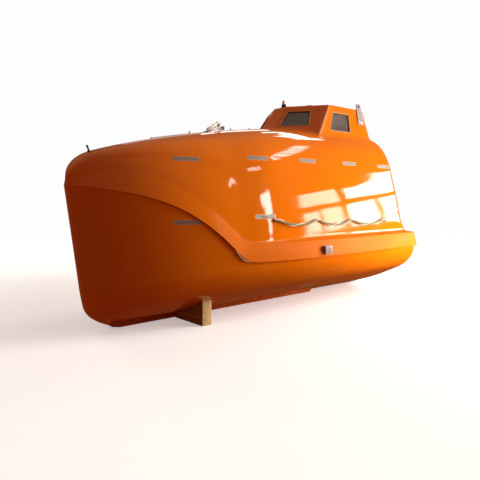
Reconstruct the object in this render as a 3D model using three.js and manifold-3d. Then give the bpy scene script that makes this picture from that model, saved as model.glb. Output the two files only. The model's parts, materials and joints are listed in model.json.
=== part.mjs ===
// Totally enclosed free-fall lifeboat on a pair of timber chocks.
// Millimetres. +X is forward, +Y is to port and +Z is up. The origin is on the floor, under the middle of the
// overall length. Lengths along the boat are measured aft from the start of the bow's curve and called "aft".

import * as THREE from 'three';
import { mergeVertices } from 'three/addons/utils/BufferGeometryUtils.js';
import Module from 'manifold-3d';

const wasm = await Module();
wasm.setup();

// Driving dimensions
const OVERALL_LENGTH = 4936;
const NOSE_SWELL = 18;
const NOSE_RUN = 250;
const BOW_X = OVERALL_LENGTH / 2 - NOSE_SWELL;
const STERN_X = -OVERALL_LENGTH / 2;
const SEAM = 0.4;
const SHELL_WALL = 45;
const CAVITY_OVERLAP = 60;
const TALL_CAVITY_OVERLAP = 1300;
const SKIN_REACH = [2200, 1000, 800];
const SKIN_CENTRE_Z = 1300;
const TOWER_WALL = 35;

// How finely the shells are built: sections at the bow outside and inside, and the stations behind it
const OUTER_BOW_STEPS = 15;
const INNER_BOW_STEPS = 8;
const OUTER_TURN_STATIONS = [1230, 1320, 1400, 1470, 1540, 1640];
const INNER_TURN_STATIONS = [1320, 1470, 1640];
const RUN_STATIONS = [2960, 3200, 3600, 4000];
const CORNER_SHARES = [1, 0.5, 0.2, 0.05, 0];
const CLOSEST_STATIONS = 12;

// Plan of the joint line between hull and canopy, and of the canopy side above it
const JOINT_PLAN = { half: 1128, run: 2530, power: 1.87 };
const CANOPY_PLAN = { half: 1018, run: 1910, power: 1.64 };
const LIP_OVERHANG = 22;
const BOW_OVERHANG = 5;
// Belt that runs round the foot of the canopy: columns height above the joint, set in from the joint
const BELT = [[90, 10], [188, 38]];
const BELT_TOP = 208;
const BELT_SHARE = 0.42;
const BELT_FADE = [1250, 2000];
const RAKE_START = 3200;
const HULL_END = 4496;
const CANOPY_END = 4512;
const AFT_CORNER_RADIUS = 150;
const AFT_TOP_DROP = 150;
const BELT_CORNER_SHARE = 0.04;
const TRANSOM_CORNER_RADIUS = 40;
const KEEL_LINE_Z = 17;
const BILGE_HEIGHT = 644;
const LEAST_FULLNESS = 0.55;
const TRANSOM_CENTRE_SHARE = 0.8;
const STEM_RAKE = 190;
const STEM_TOP_Z = 1460;
const STEM_EASING = 3;
const FOREFOOT_REACH = 280;
const FOREFOOT_Z = 230;
const FOREFOOT_POWER = 2.2;

// Columns: aft, height of the joint line between hull and canopy
const JOINT_HEIGHTS = [
  [0, 1460], [270, 1402], [420, 1370], [580, 1322], [776, 1240], [960, 1128], [1148, 985], [1320, 820],
  [1440, 712], [1530, 679], [1650, 672], [2100, 670], [4500, 670],
];

// Columns: aft, height of the canopy's ridge behind the rounded nose
const RIDGE_HEIGHTS = [
  [0, 1742], [300, 1832], [671, 1930], [1148, 2030], [1684, 2119], [2100, 2178], [2518, 2222], [3000, 2245],
  [3600, 2260], [4500, 2270],
];
const NOSE_LENGTH = 300;
const NOSE_TOP_Z = 1530;
const NOSE_POWER = 2.6;
const RIDGE_INSET_SHARE = 0.6;

// Columns: height, aft position of the raked aft wall
const AFT_WALL_KNEE = [1020, 4400];
const AFT_WALL_TOP = [2400, 4216];
const AFT_WALL = [[0, 4512], [670, 4512], [860, 4496], [880, 4478], AFT_WALL_KNEE, AFT_WALL_TOP];
const [AFT_WALL_KNEE_Z, AFT_WALL_KNEE_AFT] = AFT_WALL_KNEE;
const AFT_WALL_LEAN = Math.atan2(AFT_WALL_KNEE_AFT - AFT_WALL_TOP[1], AFT_WALL_TOP[0] - AFT_WALL_KNEE_Z);

// Columns: share of the half breadth, share of the bilge height
const HULL_SECTION = [
  [0, 0], [0.15, 0.086], [0.31, 0.174], [0.514, 0.309], [0.63, 0.402], [0.75, 0.497], [0.841, 0.585],
  [0.913, 0.69], [0.966, 0.815], [0.992, 0.915], [1, 1],
];
const TOPSIDE_STEPS = 3;

// Columns: share of the half breadth, share of the height from the ledge to the ridge
const CANOPY_SECTION = [
  [1, 0], [0.975, 0.164], [0.94, 0.35], [0.896, 0.535], [0.876, 0.625], [0.842, 0.72], [0.772, 0.82],
  [0.644, 0.907], [0.446, 0.963], [0.22, 0.992],
];

const KEEL = { from: 440, to: 3450, half: 70, taper: 80, tail: 40, top: 120, toe: 15.3 };

// Conning tower of flat faces leaning inwards.
// Columns: azimuth, lean, reach from the tower's centre at roof level
const TOWER = { aft: 3500, roofZ: 2565, baseZ: 1850 };
const TOWER_FACES = [
  [0, 37.6, 560], [34.4, 32.5, 522], [90, 9, 583], [180, 13, 491], [270, 9, 583], [325.6, 32.5, 522],
];
// Window outlines in their face: across and up from the middle of the face's upper edge
const DIAGONAL_WINDOW = [[-286, -344], [96, -344], [106, -100], [-192, -100]];
const SIDE_WINDOW = [[-283, -350], [141, -350], [148, -104], [-181, -104]];
const AFT_WINDOW = [[-200, -300], [200, -300], [190, -104], [-190, -104]];
const PANE_THICKNESS = 8;
const PANE_DEPTH = 12;
const WINDOW_CUT = [-120, 60];

// Hinges: distances across and out of the face that they stand on
const HINGE = {
  offset: 25, rise: 22, pin: 6, play: 1, knuckle: 14, length: 40, sides: 12, boreSides: 10,
  lug: 16, lugHalf: 12, lugTop: 11, lugRoot: 2, stripIn: 12, stripOut: 16, stripTop: 4, strap: 11, under: 2,
};

const HATCH = {
  aft: 3520, half: 200, coamingWall: 20, coamingHeight: 25, coamingRoot: 5, wayReach: 100, clear: 5, swing: 6,
  lidWall: 16, lidHeight: 48, lidRadius: 30, recessRadius: 4, recessRoot: 10, hingeGap: 24, strapLap: 10,
};
const LID_HALF = HATCH.half + HATCH.coamingWall + HATCH.clear + HATCH.lidWall;
const LID_AFT = LID_HALF + HATCH.swing;
const HATCH_HINGE_U = LID_AFT + HATCH.hingeGap;
const HATCH_HINGE_PLACES = [-140, 140];

const DOOR = { half: 280, low: 60, high: 860, radius: 90, clear: 5, thickness: 45, strapFrom: 150, foot: 60 };
const DOORWAY_CUT = [-250, 60];
const DOOR_HINGE_U = DOOR.half + HINGE.offset;
const DOOR_HINGE_PLACES = [DOOR.low + 200, DOOR.high - 200];

// Door handle: distances across, half heights and distances out of the door
const HANDLE = {
  plate: { across: [-250, -190], half: 45, out: [SEAM, 8] },
  boss: { across: [-238, -200], half: 20, out: [6, 44] },
  grip: { across: [-232, -90], half: 12, out: [32, 46] },
};
const RAIL = {
  across: -400, low: 140, high: 720, out: 60, radius: 12, footInset: 30, footRadius: 10, padRadius: 26,
  padOut: 6, root: -30,
};
const STEP = {
  z: 800, thickness: 22, half: 340, armTop: 4,
  slotPitch: 120, slotHalf: 30, slotRows: 2, slotFrom: 50, slotTo: 60,
};
const STEP_ARM = { side: 20, half: 6, tip: 40, lap: 30, lowZ: 700, toeZ: 690 };

// Screw, nozzle and what carries them behind the transom
const TRANSOM_X = BOW_X - HULL_END;
const FLANGE = 12;
const SHAFT_Z = 275;
const SHAFT_RADIUS = 16;
const STERN_TUBE = { flange: 62, flangeLength: 20, radius: 34, endRadius: 30, end: 48, bore: 12 };
const NOZZLE = { x: TRANSOM_X - 215, inner: 186, length: 180, stock: 16, pintle: 12, sides: 32 };
// Columns: distance out from the nozzle's inner radius, distance forward as a share of its half length
const NOZZLE_SECTION = [[8, -1], [16, -0.96], [22, -0.67], [16, 0.93], [10, 1], [2, 0.72], [0, 0], [8, -1]];
const NOZZLE_FIN = { from: -150, to: -55, half: 6, lap: 6 };
const NOZZLE_PIN_LAP = 8;
const TILLER = { half: 14, from: -120, to: 22, low: 22, high: 40, stockTop: 44 };
const PROPELLER = {
  x: TRANSOM_X - 185, radius: 170, hub: 28, blades: 3, axialShare: 0.42, mostSweep: 1.1,
  shaftFrom: 20, shaftTo: 20,
};
// Columns: radius, distance aft of the screw's middle
const HUB_PROFILE = [[0, -44], [16, -34], [24, -22], [PROPELLER.hub, -10], [PROPELLER.hub, 32], [0, 32]];
// Columns: share of the radius, chord, pitch angle in degrees, thickness
const BLADE_SECTIONS = [
  [0.12, 70, 62, 15], [0.35, 118, 46, 11], [0.6, 150, 34, 8], [0.82, 142, 27, 6], [0.95, 92, 24, 4],
  [1, 34, 23, 3],
];
// Columns: share of the chord, share of the thickness
const BLADE_OUTLINE = [[-0.5, 0], [-0.2, 0.5], [0.15, 0.5], [0.5, 0], [0.15, -0.5], [-0.2, -0.5]];
const BRACKET_Z = 494;
const BRACKET_TOP_Z = BRACKET_Z + 16;
const BRACKET = {
  padHalf: 90, padLow: 50, padHigh: 70, armHalf: 45, ribHalf: 6, ribReach: 130, ribTop: 66, ribLap: 2,
};
const HEEL_TOP_Z = 60;
const HEEL_BOTTOM_Z = 36;
const HEEL = {
  padHalf: 40, padLow: 6, padHigh: 70, armHalf: 28, eye: 30, clear: 4, boreDepth: 20, pinDepth: 18,
};

// Release hook: its pivot, bracket and outline. Columns of the outline: forward of the pivot, above it
const HOOK_Z = 610;
const HOOK_PIVOT_X = TRANSOM_X - 62;
const HOOK_BRACKET = { half: 55, low: 30, high: 46 };
const HOOK_CHEEK = { thickness: 12, inner: 18, low: 26, high: 40, reach: 24 };
const HOOK_PIN = { radius: 9, bore: 10, half: 30 };
const HOOK_HALF = 12;
const HOOK_OUTLINE = [[20, -16], [20, 24], [-90, 24], [-118, 58], [-136, 50], [-128, -6], [-96, -20]];

const EXHAUST = {
  y: -520, z: 480, flange: 52, flangeLength: 8, radius: 34, length: 60, bore: 27, boreFrom: 10,
};

// Lifting gear. Columns of the outlines: aft, height; or across and up the tower's side face
const FORWARD_LUG = {
  plate: [[1905, 2090], [1905, 2200], [1888, 2255], [1868, 2267], [1845, 2258], [1690, 2168], [1690, 2060]],
  foot: [[1930, 2090], [1930, 2168], [1670, 2132], [1670, 2060]],
  gusset: [[1938, 2100], [1938, 2212], [1926, 2212], [1926, 2100]],
  plateHalf: 9, footHalf: 45, gussetHalf: 30, eye: { aft: 1862, z: 2222, radius: 16, half: 40 },
};
const AFT_PLATE = {
  low: -215, foot: [345, 470], shoulder: [397, 40], radius: 48, edge: 445, thickness: 13, eye: [400, 45, 18],
};
const LASHING = {
  from: 2490, to: 2610, inboard: 1010, outboard: 1160, low: 700, high: 792, wall: 8, beyond: 10,
};

// Deck fittings
const BOW_POST = {
  aft: 205, foot: 34, footTop: 9, root: 60, radius: 10, top: 52, lean: 30, head: 15, headFrom: 46, headTo: 62,
};
const LIGHT_AFT = 3010;
// Columns: radius, height above the roof
const LIGHT_PROFILE = [
  [0, SEAM], [42, SEAM], [42, 10], [30, 14], [30, 56], [22, 60], [21, 88], [13, 103], [0, 108],
];
// Water spray pipe beside the ridge, with feet and upright nozzles
const SPRAY = { from: 1010, to: 2560, side: -120, lift: 16, radius: 8, steps: 20, routeSteps: 10 };
const SPRAY_NOZZLES = [1150, 1440, 1760, 2080, 2400];
const SPRAY_FOOT = { root: 40, radius: 13 };
const SPRAY_TIP = { height: 34, radius: 7 };

// Grab line. Columns: aft, height of each fixing of the line on the canopy's side
const GRAB_FIXINGS = [[1870, 1097], [2510, 1078], [3150, 1060], [3830, 1042]];
const GRAB = { radius: 8, clear: 3, sag: 52, steps: 34, eye: 13, eyeRoot: 60 };
const GRAB_TAILS = [{ aft: -40, up: 4 }, { aft: 60, up: -8 }];
const BIGHT_SHARES = [0.25, 0.5, 0.75];

const CHOCK = { from: 1180, to: 1300, inboard: 90, outboard: 602, top: 420 };

// Inside
const ENGINE = { from: 3560, to: 4160, half: 250, low: 60, top: 690 };
const SEAT = {
  aft: 3720, top: 1480, foot: 150, footTop: 14, post: 45, lap: 10, cushion: 210, cushionDepth: 70,
  backFrom: 250, backTo: 180, backHalf: 200, backTop: 520,
};
const WHEEL = {
  aft: 3235, z: 1900, radius: 170, lean: 30, rim: 12, sides: 24, spoke: 8, spokeFrom: 20, spokeTo: 166,
};
const WHEEL_SPOKES = [90, 210, 330];
// Columns: radius, distance out of the wheel's plane
const WHEEL_HUB = [[0, -59], [16, -59], [16, -14], [32, -12], [32, 10], [0, 14]];
const CONSOLE = { from: 90, to: 330, half: 160, low: 60, high: 1840 };
const CONSOLE_TOP = { across: [-200, 200], up: [-60, 150], out: [-150, -60] };

// Materials, by the finish they stand for
const MATERIALS = {
  orange: new THREE.MeshStandardMaterial({ color: 0xf06a05, roughness: 0.18, metalness: 0 }),
  stainless: new THREE.MeshStandardMaterial({ color: 0xc9cbcc, roughness: 0.3, metalness: 1 }),
  glass: new THREE.MeshStandardMaterial({ color: 0x3b4146, roughness: 0.08, metalness: 0 }),
  bronze: new THREE.MeshStandardMaterial({ color: 0xb08a4a, roughness: 0.35, metalness: 1 }),
  steelRed: new THREE.MeshStandardMaterial({ color: 0x8e2f14, roughness: 0.5, metalness: 0.2 }),
  rope: new THREE.MeshStandardMaterial({ color: 0x8d9478, roughness: 0.9, metalness: 0 }),
  black: new THREE.MeshStandardMaterial({ color: 0x202224, roughness: 0.6, metalness: 0 }),
  lamp: new THREE.MeshStandardMaterial({ color: 0xe8e6df, roughness: 0.2, metalness: 0 }),
  timber: new THREE.MeshStandardMaterial({ color: 0xa98a5c, roughness: 0.85, metalness: 0 }),
  grey: new THREE.MeshStandardMaterial({ color: 0x8c9296, roughness: 0.5, metalness: 0.3 }),
};

const radians = (degrees) => (degrees * Math.PI) / 180;
const mix = (from, to, share) => from + (to - from) * share;
const clamp = (value) => Math.min(1, Math.max(0, value));
const ease = (value) => clamp(value) ** 2 * (3 - 2 * clamp(value));

// A smooth curve through a table of [station, value] rows
function curveAt(table, station) {
  const last = table.length - 2;
  const row = Math.min(last, Math.max(0, table.findIndex((entry) => entry[0] > station) - 1));
  const index = station >= table[last + 1][0] ? last : row;
  const [s0, v0] = table[index];
  const [s1, v1] = table[index + 1];
  const chord = (v1 - v0) / (s1 - s0);
  const slopeAt = (left, right) => (left * right <= 0 ? 0 : (2 * left * right) / (left + right));
  const before = index > 0 ? (v0 - table[index - 1][1]) / (s0 - table[index - 1][0]) : chord;
  const after = index < last ? (table[index + 2][1] - v1) / (table[index + 2][0] - s1) : chord;
  const share = clamp((station - s0) / (s1 - s0));
  const rise = (s1 - s0) * share * (1 - share);
  const bend = slopeAt(before, chord) * (1 - share) - slopeAt(chord, after) * share;
  return mix(v0, v1, share * share * (3 - 2 * share)) + rise * bend;
}

// Straight lines through a table of [station, value] rows
function lineAt(table, station) {
  const above = table.findIndex((entry) => entry[0] >= station);
  const index = above < 0 ? table.length - 1 : Math.max(1, above);
  const [s0, v0] = table[index - 1];
  const [s1, v1] = table[index];
  return mix(v0, v1, (station - s0) / (s1 - s0));
}

// Half breadth of a rounded plan, drawn in by an inset all round
function planHalf(plan, aft, inset) {
  const share = clamp((aft - inset) / (plan.run - inset));
  return (plan.half - inset) * (1 - (1 - share) ** plan.power) ** (1 / plan.power);
}

const jointZ = (aft) => curveAt(JOINT_HEIGHTS, aft);

function ridgeZ(aft) {
  const behindNose = curveAt(RIDGE_HEIGHTS, aft);
  const share = Math.sqrt(1 - (1 - clamp(aft / NOSE_LENGTH)) ** NOSE_POWER);
  return mix(NOSE_TOP_Z, behindNose, share);
}

// Place along X of a station, with the bow swelled forward
function stationX(aft) {
  return BOW_X - aft + NOSE_SWELL * clamp(1 - aft / NOSE_RUN) ** 2;
}

// How far aft of the bow the stem stands at a height
function stemAft(z) {
  const rake = STEM_RAKE * (STEM_TOP_Z - z) / (STEM_TOP_Z - FOREFOOT_Z);
  return rake + FOREFOOT_REACH * clamp(1 - z / FOREFOOT_Z) ** FOREFOOT_POWER;
}

// Stations along the boat: close together at the bow and at the turn of the joint line
function stations(end, cornerRadius, bowSteps) {
  const bow = [];
  for (let step = 0; step <= bowSteps; step += 1) {
    bow.push(JOINT_PLAN.run * (1 - Math.cos((step / bowSteps) * Math.PI / 2)));
  }
  const turn = bowSteps > INNER_BOW_STEPS ? OUTER_TURN_STATIONS : INNER_TURN_STATIONS;
  const corner = CORNER_SHARES.map((share) => end - cornerRadius * share);
  const all = [...bow, ...turn, ...RUN_STATIONS, ...corner].sort((a, b) => a - b);
  return all.filter((aft, index) => index === 0 || aft - all[index - 1] > CLOSEST_STATIONS || aft === end);
}

// How much a section is drawn in near a rounded end
function cornerInset(aft, end, radius) {
  const into = clamp((radius - (end - aft)) / radius);
  return radius * (1 - Math.sqrt(1 - into * into));
}

// Closed ring from a port half section and its mirror image, which share the corner on the centre line
function mirrorRing(half, centreFirst) {
  const shared = centreFirst ? half.slice(1) : half.slice(0, -1);
  return [...half, ...shared.reverse().map(([x, y, z]) => [x, -y, z])];
}

// Port half section of the hull, from the keel up to the joint line
function hullHalf(aft, inset, raise) {
  const overhang = mix(BOW_OVERHANG, LIP_OVERHANG, clamp(aft / BELT_FADE[0]));
  const corner = cornerInset(aft, HULL_END - inset, TRANSOM_CORNER_RADIUS);
  const breadth = Math.max(0, planHalf(JOINT_PLAN, aft, inset) - overhang - corner);
  const jointTop = jointZ(Math.max(0, aft - inset));
  const keelZ = KEEL_LINE_Z + inset;
  const fullness = mix(LEAST_FULLNESS, 1, clamp(breadth / JOINT_PLAN.half));
  const bilge = (BILGE_HEIGHT - inset) * fullness;
  const easing = (1 - clamp(aft / JOINT_PLAN.run)) ** STEM_EASING;
  const place = (y, z) => [stationX(aft) - (stemAft(z) - stemAft(jointTop)) * easing, y, z];
  const section = HULL_SECTION.map(([across, up]) => place(breadth * across, keelZ + bilge * up));
  for (let step = 1; step <= TOPSIDE_STEPS; step += 1) {
    section.push(place(breadth, mix(keelZ + bilge, jointTop, step / TOPSIDE_STEPS)));
  }
  if (raise > 0) {
    section.push([section.at(-1)[0], breadth, jointTop + raise]);
  }
  return section;
}

// Port half section of the canopy, from the joint line over the ledge and side to the ridge
function canopyHalf(aft, inset, lower) {
  const atEnd = cornerInset(aft, CANOPY_END - inset, AFT_CORNER_RADIUS);
  const jointHalf = Math.max(0, planHalf(JOINT_PLAN, aft, inset) - BELT_CORNER_SHARE * atEnd);
  const sideHalf = Math.max(0, Math.min(planHalf(CANOPY_PLAN, aft, inset), jointHalf) - atEnd);
  const low = jointZ(Math.max(0, aft - inset)) + SEAM;
  const drop = (atEnd / AFT_CORNER_RADIUS) * AFT_TOP_DROP;
  const top = ridgeZ(Math.max(0, aft - inset * RIDGE_INSET_SHARE)) - inset - drop;
  const beltTop = Math.min(BELT_TOP, BELT_SHARE * (top - low));
  const proud = ease((aft - BELT_FADE[0]) / (BELT_FADE[1] - BELT_FADE[0]));
  const belt = BELT.map(([up, back]) => {
    const share = up / BELT_TOP;
    return [mix(mix(jointHalf, sideHalf, share), jointHalf - back, proud), low + beltTop * share];
  });
  const outline = inset > 0 ? [[sideHalf, low - lower]] : [[jointHalf, low], ...belt];
  CANOPY_SECTION.forEach(([across, up]) => outline.push([sideHalf * across, mix(low + beltTop, top, up)]));
  outline.push([0, top]);
  const remap = clamp((aft - RAKE_START) / (CANOPY_END - inset - RAKE_START));
  return outline.map(([y, z]) => {
    const raked = mix(RAKE_START, lineAt(AFT_WALL, z) - inset, remap);
    return [aft > RAKE_START ? BOW_X - raked : stationX(aft), y, z];
  });
}

// Closed mesh through rings of equally many corners, the same on both sides; a pinched end needs no cap
function loft(rings, lastCentre) {
  const count = rings[0].length;
  const corners = rings.flat();
  const faces = [];
  for (let ring = 0; ring + 1 < rings.length; ring += 1) {
    for (let corner = 0; corner < count; corner += 1) {
      const a = ring * count + corner;
      const b = ring * count + ((corner + 1) % count);
      const starboard = corner >= Math.floor(count / 2);
      faces.push(...(starboard
        ? [[a, b, a + count], [b, b + count, a + count]]
        : [[a, b, b + count], [a, b + count, a + count]]));
    }
  }
  corners.push(lastCentre);
  const first = (rings.length - 1) * count;
  for (let corner = 0; corner < count; corner += 1) {
    faces.push([first + corner, first + ((corner + 1) % count), corners.length - 1]);
  }
  return meshOf(corners, faces);
}

// Geometry from corners and faces, without faces that have no area, turned so that it points outwards
function meshOf(corners, faces) {
  const key = (corner) => corner.map((value) => Math.round(value * 1000)).join();
  const real = faces.filter((face) => new Set(face.map((index) => key(corners[index]))).size === 3);
  const volume = real.reduce((sum, face) => {
    const [a, b, c] = face.map((index) => new THREE.Vector3(...corners[index]));
    return sum + a.dot(b.cross(c));
  }, 0);
  const turned = volume > 0 ? real : real.map(([a, b, c]) => [a, c, b]);
  const geometry = new THREE.BufferGeometry();
  geometry.setAttribute('position', new THREE.Float32BufferAttribute(corners.flat(), 3));
  geometry.setIndex(turned.flat());
  return geometry;
}

// Solid for cutting and joining
function solidOf(geometry) {
  const plain = geometry.clone();
  plain.deleteAttribute('normal');
  plain.deleteAttribute('uv');
  const merged = mergeVertices(plain, 1e-3);
  const index = merged.index.array;
  const kept = [];
  for (let start = 0; start < index.length; start += 3) {
    const [a, b, c] = [index[start], index[start + 1], index[start + 2]];
    if (a !== b && b !== c && c !== a) {
      kept.push(a, b, c);
    }
  }
  return new wasm.Manifold(new wasm.Mesh({
    numProp: 3,
    vertProperties: new Float32Array(merged.attributes.position.array),
    triVerts: new Uint32Array(kept),
  }));
}

function geometryOf(solid) {
  const mesh = solid.getMesh();
  const geometry = new THREE.BufferGeometry();
  geometry.setAttribute('position', new THREE.BufferAttribute(new Float32Array(mesh.vertProperties), 3));
  geometry.setIndex(new THREE.BufferAttribute(new Uint32Array(mesh.triVerts), 1));
  return geometry;
}

const join = (first, ...others) => others.reduce((whole, other) => whole.add(other), first);
const cut = (first, ...others) => others.reduce((whole, other) => whole.subtract(other), first);

// The same solid on the other side of the centre line
function mirrored(solid) {
  const geometry = geometryOf(solid);
  geometry.applyMatrix4(new THREE.Matrix4().makeScale(1, -1, 1));
  const index = geometry.index.array;
  for (let start = 0; start < index.length; start += 3) {
    [index[start + 1], index[start + 2]] = [index[start + 2], index[start + 1]];
  }
  return solidOf(geometry);
}

function block([x0, x1], [y0, y1], [z0, z1]) {
  const geometry = new THREE.BoxGeometry(x1 - x0, y1 - y0, z1 - z0);
  geometry.translate((x0 + x1) / 2, (y0 + y1) / 2, (z0 + z1) / 2);
  return solidOf(geometry);
}

function rod(from, to, radius, sides = 16, endRadius = radius) {
  const start = new THREE.Vector3(...from);
  const along = new THREE.Vector3(...to).sub(start);
  const geometry = new THREE.CylinderGeometry(endRadius, radius, along.length(), sides);
  geometry.translate(0, along.length() / 2, 0);
  const turn = new THREE.Quaternion().setFromUnitVectors(new THREE.Vector3(0, 1, 0), along.normalize());
  geometry.applyQuaternion(turn);
  geometry.translate(...from);
  return solidOf(geometry);
}

// Frame of a flat face that leans back: across, up the face and outwards
function faceFrame(azimuth, lean, origin) {
  const [turn, tilt] = [radians(azimuth), radians(lean)];
  const across = new THREE.Vector3(-Math.sin(turn), Math.cos(turn), 0);
  const level = Math.cos(tilt);
  const out = new THREE.Vector3(Math.cos(turn) * level, Math.sin(turn) * level, Math.sin(tilt));
  const up = new THREE.Vector3().crossVectors(out, across);
  return new THREE.Matrix4().makeBasis(across, up, out).setPosition(new THREE.Vector3(...origin));
}

// Extruded outline in a frame, from one distance out of the face to another
function slab(outline, [from, to], frame, holes = []) {
  const corners = outline instanceof THREE.Shape ? [] : outline.map(([u, v]) => new THREE.Vector2(u, v));
  const shape = outline instanceof THREE.Shape ? outline : new THREE.Shape(corners);
  shape.holes.push(...holes);
  const options = { depth: to - from, bevelEnabled: false, curveSegments: 4 };
  const geometry = new THREE.ExtrudeGeometry(shape, options);
  geometry.translate(0, 0, from);
  geometry.applyMatrix4(frame);
  return solidOf(geometry);
}

function roundedOutline([u0, u1], [v0, v1], radius) {
  const shape = new THREE.Shape();
  shape.moveTo(u0 + radius, v0);
  shape.lineTo(u1 - radius, v0);
  shape.absarc(u1 - radius, v0 + radius, radius, -Math.PI / 2, 0);
  shape.lineTo(u1, v1 - radius);
  shape.absarc(u1 - radius, v1 - radius, radius, 0, Math.PI / 2);
  shape.lineTo(u0 + radius, v1);
  shape.absarc(u0 + radius, v1 - radius, radius, Math.PI / 2, Math.PI);
  shape.lineTo(u0, v0 + radius);
  shape.absarc(u0 + radius, v0 + radius, radius, Math.PI, Math.PI * 1.5);
  return shape;
}

function turnedPiece(profile, sides, frame) {
  const geometry = new THREE.LatheGeometry(profile.map(([r, h]) => new THREE.Vector2(r, h)), sides);
  geometry.rotateX(Math.PI / 2);
  geometry.applyMatrix4(frame);
  return solidOf(geometry);
}

function tubeAlong(points, radius, steps, sides = 8) {
  const section = new THREE.Shape();
  for (let side = 0; side < sides; side += 1) {
    const angle = (side / sides) * Math.PI * 2;
    const corner = [radius * Math.cos(angle), radius * Math.sin(angle)];
    side === 0 ? section.moveTo(...corner) : section.lineTo(...corner);
  }
  const path = new THREE.CatmullRomCurve3(points.map((point) => new THREE.Vector3(...point)));
  return solidOf(new THREE.ExtrudeGeometry(section, { steps, extrudePath: path, bevelEnabled: false }));
}

// The inside of a shell is made from fewer sections than its outside
const bowStepsFor = (inset) => (inset >= SHELL_WALL ? INNER_BOW_STEPS : OUTER_BOW_STEPS);

// Hull and canopy as full solids, grown or drawn in by an inset
function hullSolid(inset, raise = 0) {
  const rings = stations(HULL_END, TRANSOM_CORNER_RADIUS, bowStepsFor(inset)).map((aft) => {
    const station = mix(inset, HULL_END - inset, aft / HULL_END);
    return mirrorRing(hullHalf(station, inset, raise), true);
  });
  return solidOf(loft(rings, [rings.at(-1)[0][0], 0, BILGE_HEIGHT * TRANSOM_CENTRE_SHARE]));
}

function canopySolid(inset, lower = 0) {
  const rings = stations(CANOPY_END, AFT_CORNER_RADIUS, bowStepsFor(inset)).map((aft) => {
    const station = mix(inset, CANOPY_END - inset, aft / CANOPY_END);
    return mirrorRing(canopyHalf(station, inset, lower), false);
  });
  const kneeAft = lineAt(AFT_WALL, AFT_WALL_KNEE_Z) - inset;
  return solidOf(loft(rings, [BOW_X - kneeAft, 0, AFT_WALL_KNEE_Z]));
}

// A full shell grown by about a seam on every side, to trim what stands on it
function skinOf(shell) {
  const geometry = geometryOf(shell);
  const [midX, midY, midZ] = SKIN_REACH.map((reach) => 1 + SEAM / reach);
  geometry.translate(0, 0, -SKIN_CENTRE_Z);
  geometry.scale(midX, midY, midZ);
  geometry.translate(0, 0, SKIN_CENTRE_Z);
  return solidOf(geometry);
}

const HULL_OUTER = hullSolid(0);
const CANOPY_OUTER = canopySolid(0);
const HULL_CAVITY = hullSolid(SHELL_WALL, CAVITY_OVERLAP);
const CANOPY_CAVITY = canopySolid(SHELL_WALL, CAVITY_OVERLAP);
const HULL_SKIN = skinOf(HULL_OUTER);
const CANOPY_SKIN = skinOf(CANOPY_OUTER);
// The room inside the hull, to fit what stands on its bottom, to the joint line and to the wheel
const HULL_BED = hullSolid(SHELL_WALL + SEAM, CAVITY_OVERLAP);
const HULL_BED_TALL = hullSolid(SHELL_WALL + SEAM, TALL_CAVITY_OVERLAP);

// Tower between its leaning faces, drawn in by a wall; corners where neighbouring faces meet
function towerCorners(inset, z) {
  const lines = TOWER_FACES.map(([azimuth, lean, reach]) => {
    const [turn, tilt] = [radians(azimuth), radians(lean)];
    const distance = reach - inset / Math.cos(tilt) + (TOWER.roofZ - z) * Math.tan(tilt);
    return [Math.cos(turn), Math.sin(turn), distance];
  });
  return lines.map(([a0, b0, d0], index) => {
    const [a1, b1, d1] = lines[(index + 1) % lines.length];
    const area = a0 * b1 - a1 * b0;
    return [BOW_X - TOWER.aft + (d0 * b1 - d1 * b0) / area, (a0 * d1 - a1 * d0) / area, z];
  });
}

function towerSolid(inset, top, bottom) {
  const [low, high] = [towerCorners(inset, bottom), towerCorners(inset, top)];
  const count = low.length;
  const faces = [];
  for (let side = 0; side < count; side += 1) {
    const next = (side + 1) % count;
    faces.push([side, next, count + next], [side, count + next, count + side]);
  }
  for (let corner = 1; corner + 1 < count; corner += 1) {
    faces.push([0, corner + 1, corner], [count, count + corner, count + corner + 1]);
  }
  return solidOf(meshOf([...low, ...high], faces));
}

function towerFrame([azimuth, lean, reach]) {
  const turn = radians(azimuth);
  const origin = [
    BOW_X - TOWER.aft + reach * Math.cos(turn), reach * Math.sin(turn), TOWER.roofZ,
  ];
  return faceFrame(azimuth, lean, origin);
}

const TOWER_CAVITY = towerSolid(TOWER_WALL, TOWER.roofZ - TOWER_WALL, TOWER.baseZ);
const DIAGONAL_FRAME = towerFrame(TOWER_FACES[1]);
const SIDE_FRAME = towerFrame(TOWER_FACES[2]);
const AFT_FRAME = towerFrame(TOWER_FACES[3]);
const DOOR_FRAME = faceFrame(180, THREE.MathUtils.radToDeg(AFT_WALL_LEAN), [
  BOW_X - AFT_WALL_KNEE_AFT, 0, AFT_WALL_KNEE_Z,
]);
const WHEEL_FRAME = faceFrame(180, WHEEL.lean, [BOW_X - WHEEL.aft, 0, WHEEL.z]);
const HATCH_X = BOW_X - HATCH.aft;
// Frame on the tower's roof: across is aft, up is to starboard and out is up
const ROOF_FRAME = new THREE.Matrix4().makeBasis(
  new THREE.Vector3(-1, 0, 0), new THREE.Vector3(0, -1, 0), new THREE.Vector3(0, 0, 1),
).setPosition(HATCH_X, 0, TOWER.roofZ);
// Frame whose outlines are in X and height and whose slabs are thick along Y
const CENTRE_FRAME = new THREE.Matrix4().makeRotationX(Math.PI / 2);

// Middle of a list of points, of two or three axes
function middleOf(points) {
  return points[0].map((_, axis) => points.reduce((sum, point) => sum + point[axis], 0) / points.length);
}

function shrunkOutline(outline, by) {
  const middle = middleOf(outline);
  return outline.map((corner) => corner.map((value, axis) => value + Math.sign(middle[axis] - value) * by));
}

function hull() {
  return cut(HULL_OUTER, HULL_CAVITY);
}

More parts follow.
